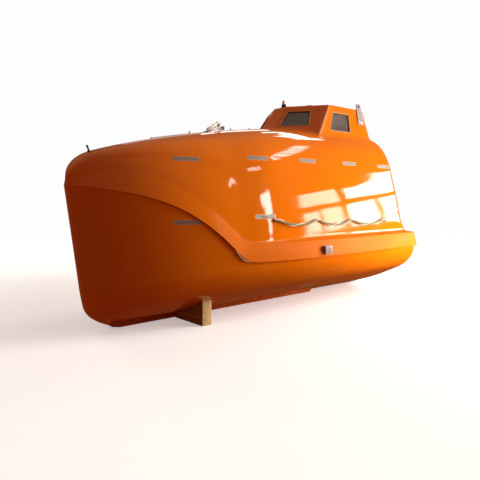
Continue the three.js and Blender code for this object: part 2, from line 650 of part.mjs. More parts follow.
function keelSkid() {
  const [fore, aft] = [BOW_X - KEEL.from, BOW_X - KEEL.to];
  const outline = [
    [aft, 0], [fore - KEEL.taper, 0], [fore, KEEL.toe], [fore, KEEL.top], [aft - KEEL.tail, KEEL.top],
    [aft - KEEL.tail, KEEL.toe],
  ];
  return cut(slab(outline, [-KEEL.half, KEEL.half], CENTRE_FRAME), HULL_SKIN);
}

function canopy() {
  const outline = roundedOutline([-DOOR.half, DOOR.half], [DOOR.low, DOOR.high], DOOR.radius);
  return cut(CANOPY_OUTER, CANOPY_CAVITY, TOWER_CAVITY, slab(outline, DOORWAY_CUT, DOOR_FRAME));
}

// Square column about the middle of the roof hatch
function hatchColumn(half, low, high) {
  return block([HATCH_X - half, HATCH_X + half], [-half, half], [TOWER.roofZ + low, TOWER.roofZ + high]);
}

function conningTower() {
  const coaming = hatchColumn(HATCH.half + HATCH.coamingWall, -HATCH.coamingRoot, HATCH.coamingHeight);
  const way = hatchColumn(HATCH.half, -HATCH.wayReach, HATCH.wayReach);
  const windows = [
    slab(DIAGONAL_WINDOW, WINDOW_CUT, DIAGONAL_FRAME), slab(SIDE_WINDOW, WINDOW_CUT, SIDE_FRAME),
  ];
  const shell = join(towerSolid(0, TOWER.roofZ, TOWER.baseZ), coaming);
  return cut(
    shell, TOWER_CAVITY, way, ...windows, ...windows.map(mirrored), slab(AFT_WINDOW, WINDOW_CUT, AFT_FRAME),
    CANOPY_SKIN,
  );
}

function pane(outline, frame) {
  return slab(shrunkOutline(outline, SEAM), [-PANE_DEPTH - PANE_THICKNESS, -PANE_DEPTH], frame);
}

// Corners of an upright rectangle between two distances across and two distances up
const rectangle = ([u0, u1], [v0, v1]) => [[u0, v0], [u1, v0], [u1, v1], [u0, v1]];

// Frame whose third axis runs along the pin
function hingeAxis(frame, across) {
  const turn = new THREE.Matrix4().makeRotationX(-Math.PI / 2).setPosition(across, 0, HINGE.rise);
  return frame.clone().multiply(turn);
}

// Solid cylinder about the pin between two places along it
function aboutPin(frame, across, radius, [low, high], sides) {
  return turnedPiece([[0, low], [radius, low], [radius, high], [0, high]], sides, hingeAxis(frame, across));
}

// Hinge about the frame's second axis, at the distance across and out where its pin runs.
// Each place is the middle of one knuckle along the pin.
function hingeFixed(frame, across, places) {
  const near = HINGE.length / 2 + HINGE.play;
  const reach = near + HINGE.lug;
  const ends = [Math.min(...places) - reach, Math.max(...places) + reach];
  const sides = [across - HINGE.stripIn, across + HINGE.stripOut];
  const strip = slab(rectangle(sides, ends), [SEAM, HINGE.stripTop], frame);
  const lugSides = [across - HINGE.lugHalf, across + HINGE.lugHalf];
  const lugs = places.flatMap((place) => [-1, 1].map((side) => slab(
    rectangle(lugSides, [place + side * near, place + side * reach]),
    [HINGE.lugRoot, HINGE.rise + HINGE.lugTop], frame,
  )));
  const pins = places.map((place) => aboutPin(
    frame, across, HINGE.pin, [place - reach + HINGE.play, place + reach - HINGE.play], HINGE.sides,
  ));
  return join(strip, ...lugs, ...pins);
}

// Knuckles and straps of the moving leaf; a foot joins each strap to a panel that lies below it
function hingeMoving(frame, across, places, strapFrom, footTo) {
  const under = HINGE.rise - HINGE.knuckle - HINGE.under;
  const parts = places.flatMap((place) => {
    const ends = [place - HINGE.length / 2, place + HINGE.length / 2];
    const knuckle = aboutPin(frame, across, HINGE.knuckle, ends, HINGE.sides);
    const strap = slab(rectangle([strapFrom, across], ends), [under, under + HINGE.strap], frame);
    if (footTo <= strapFrom) {
      return [strap, knuckle];
    }
    const foot = slab(rectangle([strapFrom, footTo], ends), [-HINGE.under, under + HINGE.under], frame);
    return [strap, knuckle, foot];
  });
  const bores = places.map((place) => aboutPin(
    frame, across, HINGE.pin + HINGE.play, [place - HINGE.length, place + HINGE.length], HINGE.boreSides,
  ));
  return { parts, bores };
}

function sternDoor() {
  const side = DOOR.half - DOOR.clear;
  const outline = roundedOutline(
    [-side, side], [DOOR.low + DOOR.clear, DOOR.high - DOOR.clear], DOOR.radius - DOOR.clear,
  );
  const panel = slab(outline, [-DOOR.thickness, 0], DOOR_FRAME);
  const { parts, bores } = hingeMoving(
    DOOR_FRAME, DOOR_HINGE_U, DOOR_HINGE_PLACES, DOOR.strapFrom, DOOR_HINGE_U - DOOR.foot,
  );
  return cut(join(panel, ...parts), ...bores);
}

function doorHandle() {
  const v = (DOOR.low + DOOR.high) / 2;
  return join(...[HANDLE.plate, HANDLE.boss, HANDLE.grip].map(({ across, half, out }) => (
    slab(rectangle(across, [v - half, v + half]), out, DOOR_FRAME)
  )));
}

function roofHatch() {
  const outline = roundedOutline([-LID_HALF, LID_AFT], [-LID_HALF, LID_HALF], HATCH.lidRadius);
  const lid = slab(outline, [HATCH.clear, HATCH.lidHeight], ROOF_FRAME);
  const inner = LID_HALF - HATCH.lidWall;
  const recess = slab(
    roundedOutline([-inner, inner + HATCH.swing], [-inner, inner], HATCH.recessRadius),
    [-HATCH.recessRoot, HATCH.coamingHeight + HATCH.clear], ROOF_FRAME,
  );
  const { parts, bores } = hingeMoving(
    ROOF_FRAME, HATCH_HINGE_U, HATCH_HINGE_PLACES, LID_AFT - HATCH.strapLap, 0,
  );
  return cut(join(cut(lid, recess), ...parts), ...bores);
}

// Upright plate on the centre line: outline in aft and height
function centrePlate(outline, half) {
  return slab(outline.map(([aft, z]) => [BOW_X - aft, z]), [-half, half], CENTRE_FRAME);
}

function forwardLug() {
  const { eye } = FORWARD_LUG;
  const x = BOW_X - eye.aft;
  const plate = cut(
    centrePlate(FORWARD_LUG.plate, FORWARD_LUG.plateHalf),
    rod([x, -eye.half, eye.z], [x, eye.half, eye.z], eye.radius),
  );
  const foot = centrePlate(FORWARD_LUG.foot, FORWARD_LUG.footHalf);
  const gusset = centrePlate(FORWARD_LUG.gusset, FORWARD_LUG.gussetHalf);
  return cut(join(plate, foot, gusset), CANOPY_SKIN);
}

function aftLiftingPlate() {
  const [u, v] = AFT_PLATE.shoulder;
  const [inboard, outboard] = AFT_PLATE.foot;
  const shape = new THREE.Shape();
  shape.moveTo(outboard, AFT_PLATE.low);
  shape.lineTo(AFT_PLATE.edge, v);
  shape.absarc(u, v, AFT_PLATE.radius, 0, Math.PI);
  shape.lineTo(inboard, AFT_PLATE.low);
  const eye = new THREE.Path().absarc(...AFT_PLATE.eye, 0, Math.PI * 2, true);
  return slab(shape, [SEAM, AFT_PLATE.thickness], SIDE_FRAME, [eye]);
}

// Short post that leans forward on its round foot
function bowFitting() {
  const [x, z] = [BOW_X - BOW_POST.aft, ridgeZ(BOW_POST.aft)];
  const along = (height) => [x + BOW_POST.lean * (height / BOW_POST.top), 0, z + height];
  const foot = rod([x, 0, z - BOW_POST.root], [x, 0, z + BOW_POST.footTop], BOW_POST.foot);
  const post = rod(along(0), along(BOW_POST.top), BOW_POST.radius, 12);
  const head = rod(along(BOW_POST.headFrom), along(BOW_POST.headTo), BOW_POST.head, 12);
  return cut(join(foot, post, head), CANOPY_SKIN);
}

function positionLight() {
  const frame = new THREE.Matrix4().makeTranslation(BOW_X - LIGHT_AFT, 0, TOWER.roofZ);
  return turnedPiece(LIGHT_PROFILE, 16, frame);
}

function sprayPipe() {
  const route = [];
  for (let step = 0; step <= SPRAY.routeSteps; step += 1) {
    const aft = mix(SPRAY.from, SPRAY.to, step / SPRAY.routeSteps);
    route.push([BOW_X - aft, SPRAY.side, ridgeZ(aft) + SPRAY.lift]);
  }
  const pieces = SPRAY_NOZZLES.flatMap((aft) => {
    const at = (height) => [BOW_X - aft, SPRAY.side, ridgeZ(aft) + height];
    return [
      rod(at(-SPRAY_FOOT.root), at(SPRAY.lift), SPRAY_FOOT.radius, 8),
      rod(at(SPRAY.lift), at(SPRAY.lift + SPRAY_TIP.height), SPRAY_TIP.radius, 8),
    ];
  });
  return cut(join(tubeAlong(route, SPRAY.radius, SPRAY.steps), ...pieces), CANOPY_SKIN);
}

// Half breadth of the canopy's side at a place and height
function canopySide(aft, z) {
  const outline = canopyHalf(aft, 0, 0);
  const above = outline.findIndex((point, index) => index > BELT.length && point[2] >= z);
  const [low, high] = [outline[above - 1], outline[above]];
  return mix(low[1], high[1], (z - low[2]) / (high[2] - low[2]));
}

// The line hangs in bights from fixing to fixing, close to the canopy's side
function grabLine() {
  const place = (aft, z) => [BOW_X - aft, canopySide(aft, z) + GRAB.radius + GRAB.clear, z];
  const tail = ([aft, z], { aft: run, up }) => place(aft + run, z + up);
  const route = [tail(GRAB_FIXINGS[0], GRAB_TAILS[0])];
  GRAB_FIXINGS.forEach(([aft, z], index) => {
    route.push(place(aft, z));
    if (index + 1 < GRAB_FIXINGS.length) {
      const [nextAft, nextZ] = GRAB_FIXINGS[index + 1];
      BIGHT_SHARES.forEach((share) => {
        const drop = GRAB.sag * 4 * share * (1 - share);
        route.push(place(mix(aft, nextAft, share), mix(z, nextZ, share) - drop));
      });
    }
  });
  route.push(tail(GRAB_FIXINGS.at(-1), GRAB_TAILS[1]));
  const eyes = GRAB_FIXINGS.map(([aft, z]) => {
    const [x, y] = place(aft, z);
    return rod([x, y - GRAB.eyeRoot, z], [x, y + GRAB.radius - 1, z], GRAB.eye, 8);
  });
  return cut(join(tubeAlong(route, GRAB.radius, GRAB.steps), ...eyes), CANOPY_SKIN);
}

function lashingBracket() {
  const [x0, x1] = [BOW_X - LASHING.to, BOW_X - LASHING.from];
  const outer = block([x0, x1], [LASHING.inboard, LASHING.outboard], [LASHING.low, LASHING.high]);
  const inner = block(
    [x0 + LASHING.wall, x1 - LASHING.wall],
    [LASHING.inboard - LASHING.beyond, LASHING.outboard - LASHING.wall],
    [LASHING.low - LASHING.beyond, LASHING.high + LASHING.beyond],
  );
  return cut(outer, inner, CANOPY_SKIN);
}

function chock() {
  const along = [BOW_X - CHOCK.to, BOW_X - CHOCK.from];
  return cut(block(along, [CHOCK.inboard, CHOCK.outboard], [0, CHOCK.top]), HULL_SKIN);
}

// Rod along the boat from the transom, starting some way behind it
function sternRod(y, z, from, to, radius, sides = 20, endRadius = radius) {
  const start = TRANSOM_X - SEAM;
  return rod([start - from, y, z], [start - to, y, z], radius, sides, endRadius);
}

function sternTube() {
  const reach = TRANSOM_X - SEAM - PROPELLER.x;
  const tube = join(
    sternRod(0, SHAFT_Z, 0, STERN_TUBE.flangeLength, STERN_TUBE.flange),
    sternRod(0, SHAFT_Z, 0, reach - STERN_TUBE.end, STERN_TUBE.radius, 20, STERN_TUBE.endRadius),
  );
  return cut(tube, sternRod(0, SHAFT_Z, STERN_TUBE.bore, reach, SHAFT_RADIUS + SEAM, 16));
}

// Frame whose third axis runs aft to forward along the shaft
const shaftFrame = (x) => new THREE.Matrix4().makeRotationY(Math.PI / 2).setPosition(x, 0, SHAFT_Z);

function propeller() {
  const hub = turnedPiece(HUB_PROFILE, 20, shaftFrame(PROPELLER.x));
  const [aft, fore] = [PROPELLER.x + PROPELLER.shaftFrom, TRANSOM_X - PROPELLER.shaftTo];
  const shaft = rod([aft, 0, SHAFT_Z], [fore, 0, SHAFT_Z], SHAFT_RADIUS);
  const blades = [];
  for (let blade = 0; blade < PROPELLER.blades; blade += 1) {
    blades.push(propellerBlade((blade / PROPELLER.blades) * Math.PI * 2));
  }
  return join(hub, shaft, ...blades);
}

// Tapered twisted blade from inside the hub to the tip circle
function propellerBlade(turn) {
  const rings = BLADE_SECTIONS.map(([share, chord, pitch, thickness]) => {
    const radius = PROPELLER.radius * share;
    const angle = radians(pitch);
    return BLADE_OUTLINE.map(([along, through]) => {
      const across = along * chord * Math.cos(angle) - through * thickness * Math.sin(angle);
      const axial = along * chord * Math.sin(angle) + through * thickness * Math.cos(angle);
      const sweep = Math.max(-PROPELLER.mostSweep, Math.min(PROPELLER.mostSweep, across / radius));
      const [side, up] = [radius * Math.sin(turn + sweep), radius * Math.cos(turn + sweep)];
      return [PROPELLER.x + axial * PROPELLER.axialShare, side, SHAFT_Z + up];
    });
  });
  const root = rings[0].map(() => middleOf(rings[0]));
  return solidOf(loft([root, ...rings], middleOf(rings.at(-1))));
}

function steeringNozzle() {
  const { x, inner, length, stock, pintle } = NOZZLE;
  const section = NOZZLE_SECTION.map(([out, along]) => [inner + out, along * length / 2]);
  const ring = turnedPiece(section, NOZZLE.sides, shaftFrame(x));
  const finReach = inner + NOZZLE_FIN.lap;
  const fin = block(
    [x + NOZZLE_FIN.from, x + NOZZLE_FIN.to], [-NOZZLE_FIN.half, NOZZLE_FIN.half],
    [SHAFT_Z - finReach, SHAFT_Z + finReach],
  );
  const reach = inner + NOZZLE_PIN_LAP;
  const post = rod([x, 0, SHAFT_Z + reach], [x, 0, BRACKET_TOP_Z + TILLER.stockTop], stock);
  const tiller = block(
    [x - TILLER.half, x + TILLER.half], [TILLER.from, TILLER.to],
    [BRACKET_TOP_Z + TILLER.low, BRACKET_TOP_Z + TILLER.high],
  );
  const heelPin = rod([x, 0, HEEL_TOP_Z - HEEL.pinDepth], [x, 0, SHAFT_Z - reach], pintle);
  return join(ring, fin, post, tiller, heelPin);
}

function nozzleBracket() {
  const start = TRANSOM_X - SEAM;
  const { padHalf, padLow, padHigh, armHalf, ribHalf, ribReach, ribTop } = BRACKET;
  const ribLow = BRACKET_TOP_Z - BRACKET.ribLap;
  const pad = block([start - FLANGE, start], [-padHalf, padHalf], [BRACKET_Z - padLow, BRACKET_Z + padHigh]);
  const arm = block([NOZZLE.x, start], [-armHalf, armHalf], [BRACKET_Z, BRACKET_TOP_Z]);
  const eye = rod([NOZZLE.x, 0, BRACKET_Z], [NOZZLE.x, 0, BRACKET_TOP_Z], armHalf, 20);
  const ribOutline = [[start, ribLow], [start, BRACKET_Z + ribTop], [NOZZLE.x + ribReach, ribLow]];
  const rib = slab(ribOutline, [-ribHalf, ribHalf], CENTRE_FRAME);
  const bore = rod([NOZZLE.x, 0, BRACKET_Z - 20], [NOZZLE.x, 0, BRACKET_TOP_Z + 20], NOZZLE.stock + 1);
  return cut(join(pad, arm, eye, rib), bore);
}

function heelBracket() {
  const start = TRANSOM_X - SEAM;
  const top = HEEL_TOP_Z - HEEL.clear;
  const pad = block(
    [start - FLANGE, start], [-HEEL.padHalf, HEEL.padHalf],
    [HEEL_BOTTOM_Z + HEEL.padLow, HEEL_BOTTOM_Z + HEEL.padHigh],
  );
  const arm = block([NOZZLE.x, start], [-HEEL.armHalf, HEEL.armHalf], [HEEL_BOTTOM_Z, top]);
  const eye = rod([NOZZLE.x, 0, HEEL_BOTTOM_Z], [NOZZLE.x, 0, top], HEEL.eye, 20);
  const bore = rod(
    [NOZZLE.x, 0, HEEL_TOP_Z - HEEL.boreDepth], [NOZZLE.x, 0, HEEL_TOP_Z + HEEL.boreDepth], NOZZLE.pintle + 1,
  );
  return cut(join(pad, arm, eye), bore);
}

function hookBracket() {
  const start = TRANSOM_X - SEAM;
  const { half, low, high } = HOOK_BRACKET;
  const { thickness, inner, reach } = HOOK_CHEEK;
  const pad = block([start - FLANGE, start], [-half, half], [HOOK_Z - low, HOOK_Z + high]);
  const cheeks = [-inner - thickness, inner].map((y) => block(
    [HOOK_PIVOT_X - reach, start - FLANGE / 2], [y, y + thickness],
    [HOOK_Z - HOOK_CHEEK.low, HOOK_Z + HOOK_CHEEK.high],
  ));
  const at = (y) => [HOOK_PIVOT_X, y, HOOK_Z];
  return join(pad, ...cheeks, rod(at(-HOOK_PIN.half), at(HOOK_PIN.half), HOOK_PIN.radius, 12));
}

function releaseHook() {
  const outline = HOOK_OUTLINE.map(([fore, up]) => [HOOK_PIVOT_X + fore, HOOK_Z + up]);
  const bore = rod([HOOK_PIVOT_X, -20, HOOK_Z], [HOOK_PIVOT_X, 20, HOOK_Z], HOOK_PIN.bore, 12);
  return cut(slab(outline, [-HOOK_HALF, HOOK_HALF], CENTRE_FRAME), bore);
}

function boardingStep() {
  const wallX = BOW_X - lineAt(AFT_WALL, STEP.z) - 2;
  const inner = wallX + STEP_ARM.lap;
  const plate = block([STERN_X, inner], [-STEP.half, STEP.half], [STEP.z, STEP.z + STEP.thickness]);
  const slots = [];
  for (let row = -STEP.slotRows; row <= STEP.slotRows; row += 1) {
    const y = row * STEP.slotPitch;
    slots.push(block(
      [STERN_X + STEP.slotFrom, wallX - STEP.slotTo], [y - STEP.slotHalf, y + STEP.slotHalf],
      [STEP.z - STEP.thickness, STEP.z + 2 * STEP.thickness],
    ));
  }
  const arms = [-1, 1].map((side) => {
    const y = side * (STEP.half - STEP_ARM.side);
    const top = STEP.z + STEP.armTop;
    const tip = STERN_X + STEP_ARM.tip;
    const outline = [[inner, top], [inner, STEP_ARM.lowZ], [wallX, STEP_ARM.toeZ], [tip, top]];
    return slab(outline, [-y - STEP_ARM.half, -y + STEP_ARM.half], CENTRE_FRAME);
  });
  return cut(join(cut(plate, ...slots), ...arms), CANOPY_SKIN);
}

function doorRail() {
  const at = (v, out) => new THREE.Vector3(RAIL.across, v, out).applyMatrix4(DOOR_FRAME).toArray();
  const bar = rod(at(RAIL.low, RAIL.out), at(RAIL.high, RAIL.out), RAIL.radius, 12);
  const places = [RAIL.low + RAIL.footInset, RAIL.high - RAIL.footInset];
  const feet = places.map((v) => rod(at(v, RAIL.root), at(v, RAIL.out), RAIL.footRadius, 12));
  const pads = places.map((v) => rod(at(v, RAIL.root), at(v, RAIL.padOut), RAIL.padRadius));
  return cut(join(bar, ...feet, ...pads), CANOPY_SKIN);
}

function exhaustOutlet() {
  const { y, z, length } = EXHAUST;
  const flange = sternRod(y, z, 0, EXHAUST.flangeLength, EXHAUST.flange);
  const pipe = join(flange, sternRod(y, z, 0, length, EXHAUST.radius));
  return cut(pipe, sternRod(y, z, EXHAUST.boreFrom, length + EXHAUST.boreFrom, EXHAUST.bore));
}

function engine() {
  const body = block(
    [BOW_X - ENGINE.to, BOW_X - ENGINE.from], [-ENGINE.half, ENGINE.half], [ENGINE.low, ENGINE.top],
  );
  return body.intersect(HULL_BED);
}

function helmSeat() {
  const x = BOW_X - SEAT.aft;
  const under = SEAT.top - SEAT.cushionDepth;
  const back = [x - SEAT.backFrom, x - SEAT.backTo];
  return join(
    rod([x, 0, ENGINE.top + SEAM], [x, 0, ENGINE.top + SEAT.footTop], SEAT.foot, 20),
    rod([x, 0, ENGINE.top + SEAT.lap], [x, 0, under + SEAT.lap], SEAT.post),
    block([x - SEAT.cushion, x + SEAT.cushion], [-SEAT.cushion, SEAT.cushion], [under, SEAT.top]),
    block(back, [-SEAT.backHalf, SEAT.backHalf], [under, SEAT.top + SEAT.backTop]),
  );
}

function helmConsole() {
  const x = BOW_X - WHEEL.aft;
  const column = block(
    [x + CONSOLE.from, x + CONSOLE.to], [-CONSOLE.half, CONSOLE.half], [CONSOLE.low, CONSOLE.high],
  ).intersect(HULL_BED_TALL);
  return join(column, slab(rectangle(CONSOLE_TOP.across, CONSOLE_TOP.up), CONSOLE_TOP.out, WHEEL_FRAME));
}

function helmWheel() {
  const { radius, rim } = WHEEL;
  const section = [[radius, -rim], [radius + rim, 0], [radius, rim], [radius - rim, 0], [radius, -rim]];
  const ring = turnedPiece(section, WHEEL.sides, WHEEL_FRAME);
  const boss = turnedPiece(WHEEL_HUB, 16, WHEEL_FRAME);
  const spokes = WHEEL_SPOKES.map((angle) => {
    const [c, s] = [Math.cos(radians(angle)), Math.sin(radians(angle))];
    const at = (reach) => new THREE.Vector3(reach * c, reach * s, 0).applyMatrix4(WHEEL_FRAME).toArray();
    return rod(at(WHEEL.spokeFrom), at(WHEEL.spokeTo), WHEEL.spoke, 8);
  });
  return join(ring, boss, ...spokes);
}

const boat = new THREE.Group();

function add(name, solid, material) {
  const mesh = new THREE.Mesh(geometryOf(solid), MATERIALS[material]);
  mesh.name = name;
  boat.add(mesh);
}

function addPair(name, solid, material) {
  add(`${name}_port`, solid, material);
  add(`${name}_starboard`, mirrored(solid), material);
}

add('hull', hull(), 'orange');
add('keel_skid', keelSkid(), 'steelRed');
add('canopy', canopy(), 'orange');
add('conning_tower', conningTower(), 'orange');
addPair('window_diagonal', pane(DIAGONAL_WINDOW, DIAGONAL_FRAME), 'glass');
addPair('window_side', pane(SIDE_WINDOW, SIDE_FRAME), 'glass');
add('window_aft', pane(AFT_WINDOW, AFT_FRAME), 'glass');
add('roof_hatch', roofHatch(), 'orange');
add('roof_hatch_hinge', hingeFixed(ROOF_FRAME, HATCH_HINGE_U, HATCH_HINGE_PLACES), 'stainless');
add('stern_door', sternDoor(), 'orange');
add('stern_door_hinge', hingeFixed(DOOR_FRAME, DOOR_HINGE_U, DOOR_HINGE_PLACES), 'stainless');
add('stern_door_handle', doorHandle(), 'stainless');
add('stern_grab_rail', doorRail(), 'stainless');
add('boarding_step', boardingStep(), 'stainless');
add('stern_tube', sternTube(), 'steelRed');
add('propeller', propeller(), 'bronze');
add('steering_nozzle', steeringNozzle(), 'steelRed');
add('nozzle_bracket', nozzleBracket(), 'steelRed');
add('nozzle_heel', heelBracket(), 'steelRed');
add('release_hook_bracket', hookBracket(), 'stainless');
add('release_hook', releaseHook(), 'stainless');
add('exhaust_outlet', exhaustOutlet(), 'stainless');
add('lifting_lug_forward', forwardLug(), 'stainless');
addPair('lifting_plate_aft', aftLiftingPlate(), 'stainless');
add('bow_fitting', bowFitting(), 'stainless');
add('position_light', positionLight(), 'lamp');
add('spray_pipe', sprayPipe(), 'stainless');
addPair('grab_line', grabLine(), 'rope');
addPair('lashing_bracket', lashingBracket(), 'stainless');
add('engine', engine(), 'grey');
add('helm_seat', helmSeat(), 'black');
add('helm_console', helmConsole(), 'grey');
add('helm_wheel', helmWheel(), 'black');
addPair('chock', chock(), 'timber');

export default boat;
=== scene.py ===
"""Free-fall lifeboat: the looks of the hull, canopy, tower, windows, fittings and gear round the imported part.

Shapes are worked out in millimetres, as the part is, and turned into metres when a mesh is made.
"""

import functools
import json
import math
from contextlib import contextmanager

import bmesh
import bpy
from mathutils import Matrix, Vector
from mathutils.bvhtree import BVHTree

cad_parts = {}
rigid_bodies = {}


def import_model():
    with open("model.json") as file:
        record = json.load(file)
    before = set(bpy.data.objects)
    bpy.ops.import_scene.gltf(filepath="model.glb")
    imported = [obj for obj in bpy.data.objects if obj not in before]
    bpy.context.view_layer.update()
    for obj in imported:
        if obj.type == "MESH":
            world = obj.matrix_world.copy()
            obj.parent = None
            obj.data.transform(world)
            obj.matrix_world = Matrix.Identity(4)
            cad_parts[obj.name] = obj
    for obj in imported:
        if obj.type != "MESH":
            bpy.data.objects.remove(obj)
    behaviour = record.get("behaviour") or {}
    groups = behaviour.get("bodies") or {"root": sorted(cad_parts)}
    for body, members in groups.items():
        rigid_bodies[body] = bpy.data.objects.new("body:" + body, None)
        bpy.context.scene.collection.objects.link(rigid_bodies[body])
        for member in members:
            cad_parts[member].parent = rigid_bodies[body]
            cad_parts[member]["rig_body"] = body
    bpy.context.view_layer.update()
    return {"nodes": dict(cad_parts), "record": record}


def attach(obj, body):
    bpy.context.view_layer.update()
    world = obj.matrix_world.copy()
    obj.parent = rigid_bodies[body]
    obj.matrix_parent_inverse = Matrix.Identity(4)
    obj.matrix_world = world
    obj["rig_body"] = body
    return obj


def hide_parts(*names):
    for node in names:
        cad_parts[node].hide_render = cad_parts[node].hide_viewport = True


bl_info = {
    "name": "Free-fall lifeboat",
    "version": (1, 0, 0),
    "blender": (4, 5, 0),
    "location": "View3D > Sidebar > Lifeboat",
    "description": "Builds the looks of a small totally enclosed free-fall lifeboat",
    "category": "Add Mesh",
}

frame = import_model()
NODES = frame["nodes"]

MM = 0.001
MERGE_DISTANCE = 2e-5
ROOT_BODY = "boat"

# Places along the boat, in millimetres aft of the middle of the bow's curve
BOW_X = 2450
NOSE_SWELL = 18
NOSE_RUN = 250
RAKE_START = 3200
HULL_END = 4496
CANOPY_END = 4512
TRANSOM_X = BOW_X - HULL_END
AFT_CORNER_RADIUS = 150
AFT_TOP_DROP = 150
BELT_CORNER_SHARE = 0.04
TRANSOM_CORNER_RADIUS = 40
TAU = math.tau

# Plans and profiles of the two shells
JOINT_PLAN = {"half": 1128, "run": 2530, "power": 1.87}
CANOPY_PLAN = {"half": 1018, "run": 1910, "power": 1.64}
LIP_OVERHANG = 22
BOW_OVERHANG = 5
BELT = [(90, 10), (188, 38)]
BELT_TOP = 208
BELT_SHARE = 0.42
BELT_DULL = (196, 214)
BELT_DULL_RUN = (950, 1300)
BELT_FADE = (1250, 2000)
BOW_CREASE = 0.16
BOW_CREASE_FROM = 700
KEEL_LINE_Z = 17
BILGE_HEIGHT = 644
STEM_RAKE = 190
STEM_TOP_Z = 1460
FOREFOOT_REACH = 280
FOREFOOT_Z = 230
NOSE_LENGTH = 300
NOSE_TOP_Z = 1530
SEAM = 0.4
# Where rays onto the skins start: above the boat, and beside it
RAY_TOP = 4000
RAY_SIDE = 2000

# Columns: aft, height of the joint line between hull and canopy
JOINT_HEIGHTS = [
    (0, 1460), (270, 1402), (420, 1370), (580, 1322), (776, 1240), (960, 1128), (1148, 985), (1320, 820),
    (1440, 712), (1530, 679), (1650, 672), (2100, 670), (4500, 670),
]
# Columns: aft, height of the canopy's ridge behind the rounded nose
RIDGE_HEIGHTS = [
    (0, 1742), (300, 1832), (671, 1930), (1148, 2030), (1684, 2119), (2100, 2178), (2518, 2222), (3000, 2245),
    (3600, 2260), (4500, 2270),
]
# Columns: height, aft position of the raked aft wall
AFT_WALL = [(0, 4512), (670, 4512), (860, 4496), (880, 4478), (1020, 4400), (2400, 4216)]
AFT_WALL_KNEE_Z = 1020
AFT_WALL_LEAN = math.degrees(math.atan2(4400 - 4216, 2400 - 1020))
# Columns: share of the half breadth, share of the bilge height
HULL_SECTION = [
    (0, 0), (0.15, 0.086), (0.31, 0.174), (0.514, 0.309), (0.63, 0.402), (0.75, 0.497), (0.841, 0.585),
    (0.913, 0.69), (0.966, 0.815), (0.992, 0.915), (1, 1),
]
# Columns: share of the half breadth, share of the height from the belt to the ridge; the last row mirrors
CANOPY_SECTION = [
    (1, 0), (0.975, 0.164), (0.94, 0.35), (0.896, 0.535), (0.876, 0.625), (0.842, 0.72), (0.772, 0.82),
    (0.644, 0.907), (0.446, 0.963), (0.22, 0.992), (0, 1), (-0.22, 0.992),
]

# Conning tower: flat faces leaning inwards
# Columns: azimuth, lean, reach from the tower's centre at roof level
TOWER_X = BOW_X - 3500
ROOF_Z = 2565
TOWER_FACES = [
    (0, 37.6, 560), (34.4, 32.5, 522), (90, 9, 583), (180, 13, 491), (270, 9, 583), (325.6, 32.5, 522),
]
DIAGONAL_WINDOW = [(-286, -344), (96, -344), (106, -100), (-192, -100)]
SIDE_WINDOW = [(-283, -350), (141, -350), (148, -104), (-181, -104)]
AFT_WINDOW = [(-200, -300), (200, -300), (190, -104), (-190, -104)]
HATCH_X = BOW_X - 3520
HATCH_HALF = 200
WINDOW_RADIUS = 14
# How far in and out of a face the openings are cut
WINDOW_CUT = (-140, 60)
DOORWAY_CUT = (-250, 60)
HATCHWAY_CUT = (-120, 120)
# The canopy is open under the tower: inset from its faces, low and high end of the cut
TOWER_WAY = (36, 1850, 2400)
DOOR = {"half": 280, "low": 60, "high": 860, "radius": 90, "clear": 5, "strap_from": 150, "foot": 60}

# Columns: aft, height, length of each reflective strip on the port side; the starboard side mirrors them
CANOPY_STRIPS = [(910, 1722), (1735, 1763), (2500, 1768), (3290, 1768), (4040, 1762), (1735, 1137)]
HULL_STRIPS = [(862, 1098)]
STRIP_LENGTH = 268
STRIP_WIDTH = 45

# Columns: aft, height of each fixing of the grab line on the canopy's side
GRAB_FIXINGS = [(1870, 1097), (2510, 1078), (3150, 1060), (3830, 1042)]
GRAB_TAILS = [(-40, 4), (60, -8)]
GRAB_SAG = 52
GRAB_LIFT = 15
FERRULE_POINTS = 9
FERRULE_RADIUS = 15
HOOK_EYE = 11

# Hinges: sizes about the pin, which runs along a frame's second axis
HINGE = {
    "pin": 6, "play": 1, "rise": 22, "knuckle": 14, "half": 20, "lug": 16, "lug_half": 12, "strip": (-12, 16),
    "strip_top": 4, "strap": (6, 17),
}
LID = {"back": -241, "front": 247, "radius": 30}
HATCH_HINGE_U = 271
HATCH_HINGE_PLACES = (-140, 140)
DOOR_HINGE_U = 305
DOOR_HINGE_PLACES = (260, 660)
RAIL = {"across": -400, "low": 140, "high": 720, "out": 60, "radius": 12, "pad": 28}
STEP = {"z": 800, "thickness": 22, "half": 340, "arm_side": 20}
STERN_X = -2468

# Drive gear behind the transom
SHAFT_Z = 275
PROPELLER = {"x": TRANSOM_X - 185, "radius": 170, "blades": 3}
# Columns: share of the radius, chord, pitch angle in degrees, thickness
BLADE_SECTIONS = [
    (0.12, 70, 62, 15), (0.35, 118, 46, 11), (0.6, 150, 34, 8), (0.82, 142, 27, 6), (0.95, 92, 24, 4),
    (1, 34, 23, 3),
]
NOZZLE = {"x": TRANSOM_X - 215, "inner": 186, "length": 180}
# Columns: distance out from the nozzle's inner radius, distance forward as a share of its half length
NOZZLE_SECTION = [
    (8, -1), (13, -0.99), (16, -0.96), (20, -0.85), (22, -0.67), (20, -0.1), (18, 0.5), (16, 0.93),
    (13.5, 0.985), (10, 1), (5, 0.9), (2, 0.72), (0.5, 0.35), (0, 0), (3, -0.4), (8, -1),
]
BRACKET_TOP_Z = 510
HEEL_TOP_Z = 60
HOOK_Z = 610
HOOK_PIVOT_X = TRANSOM_X - 62
EXHAUST = {"y": -520, "z": 480}

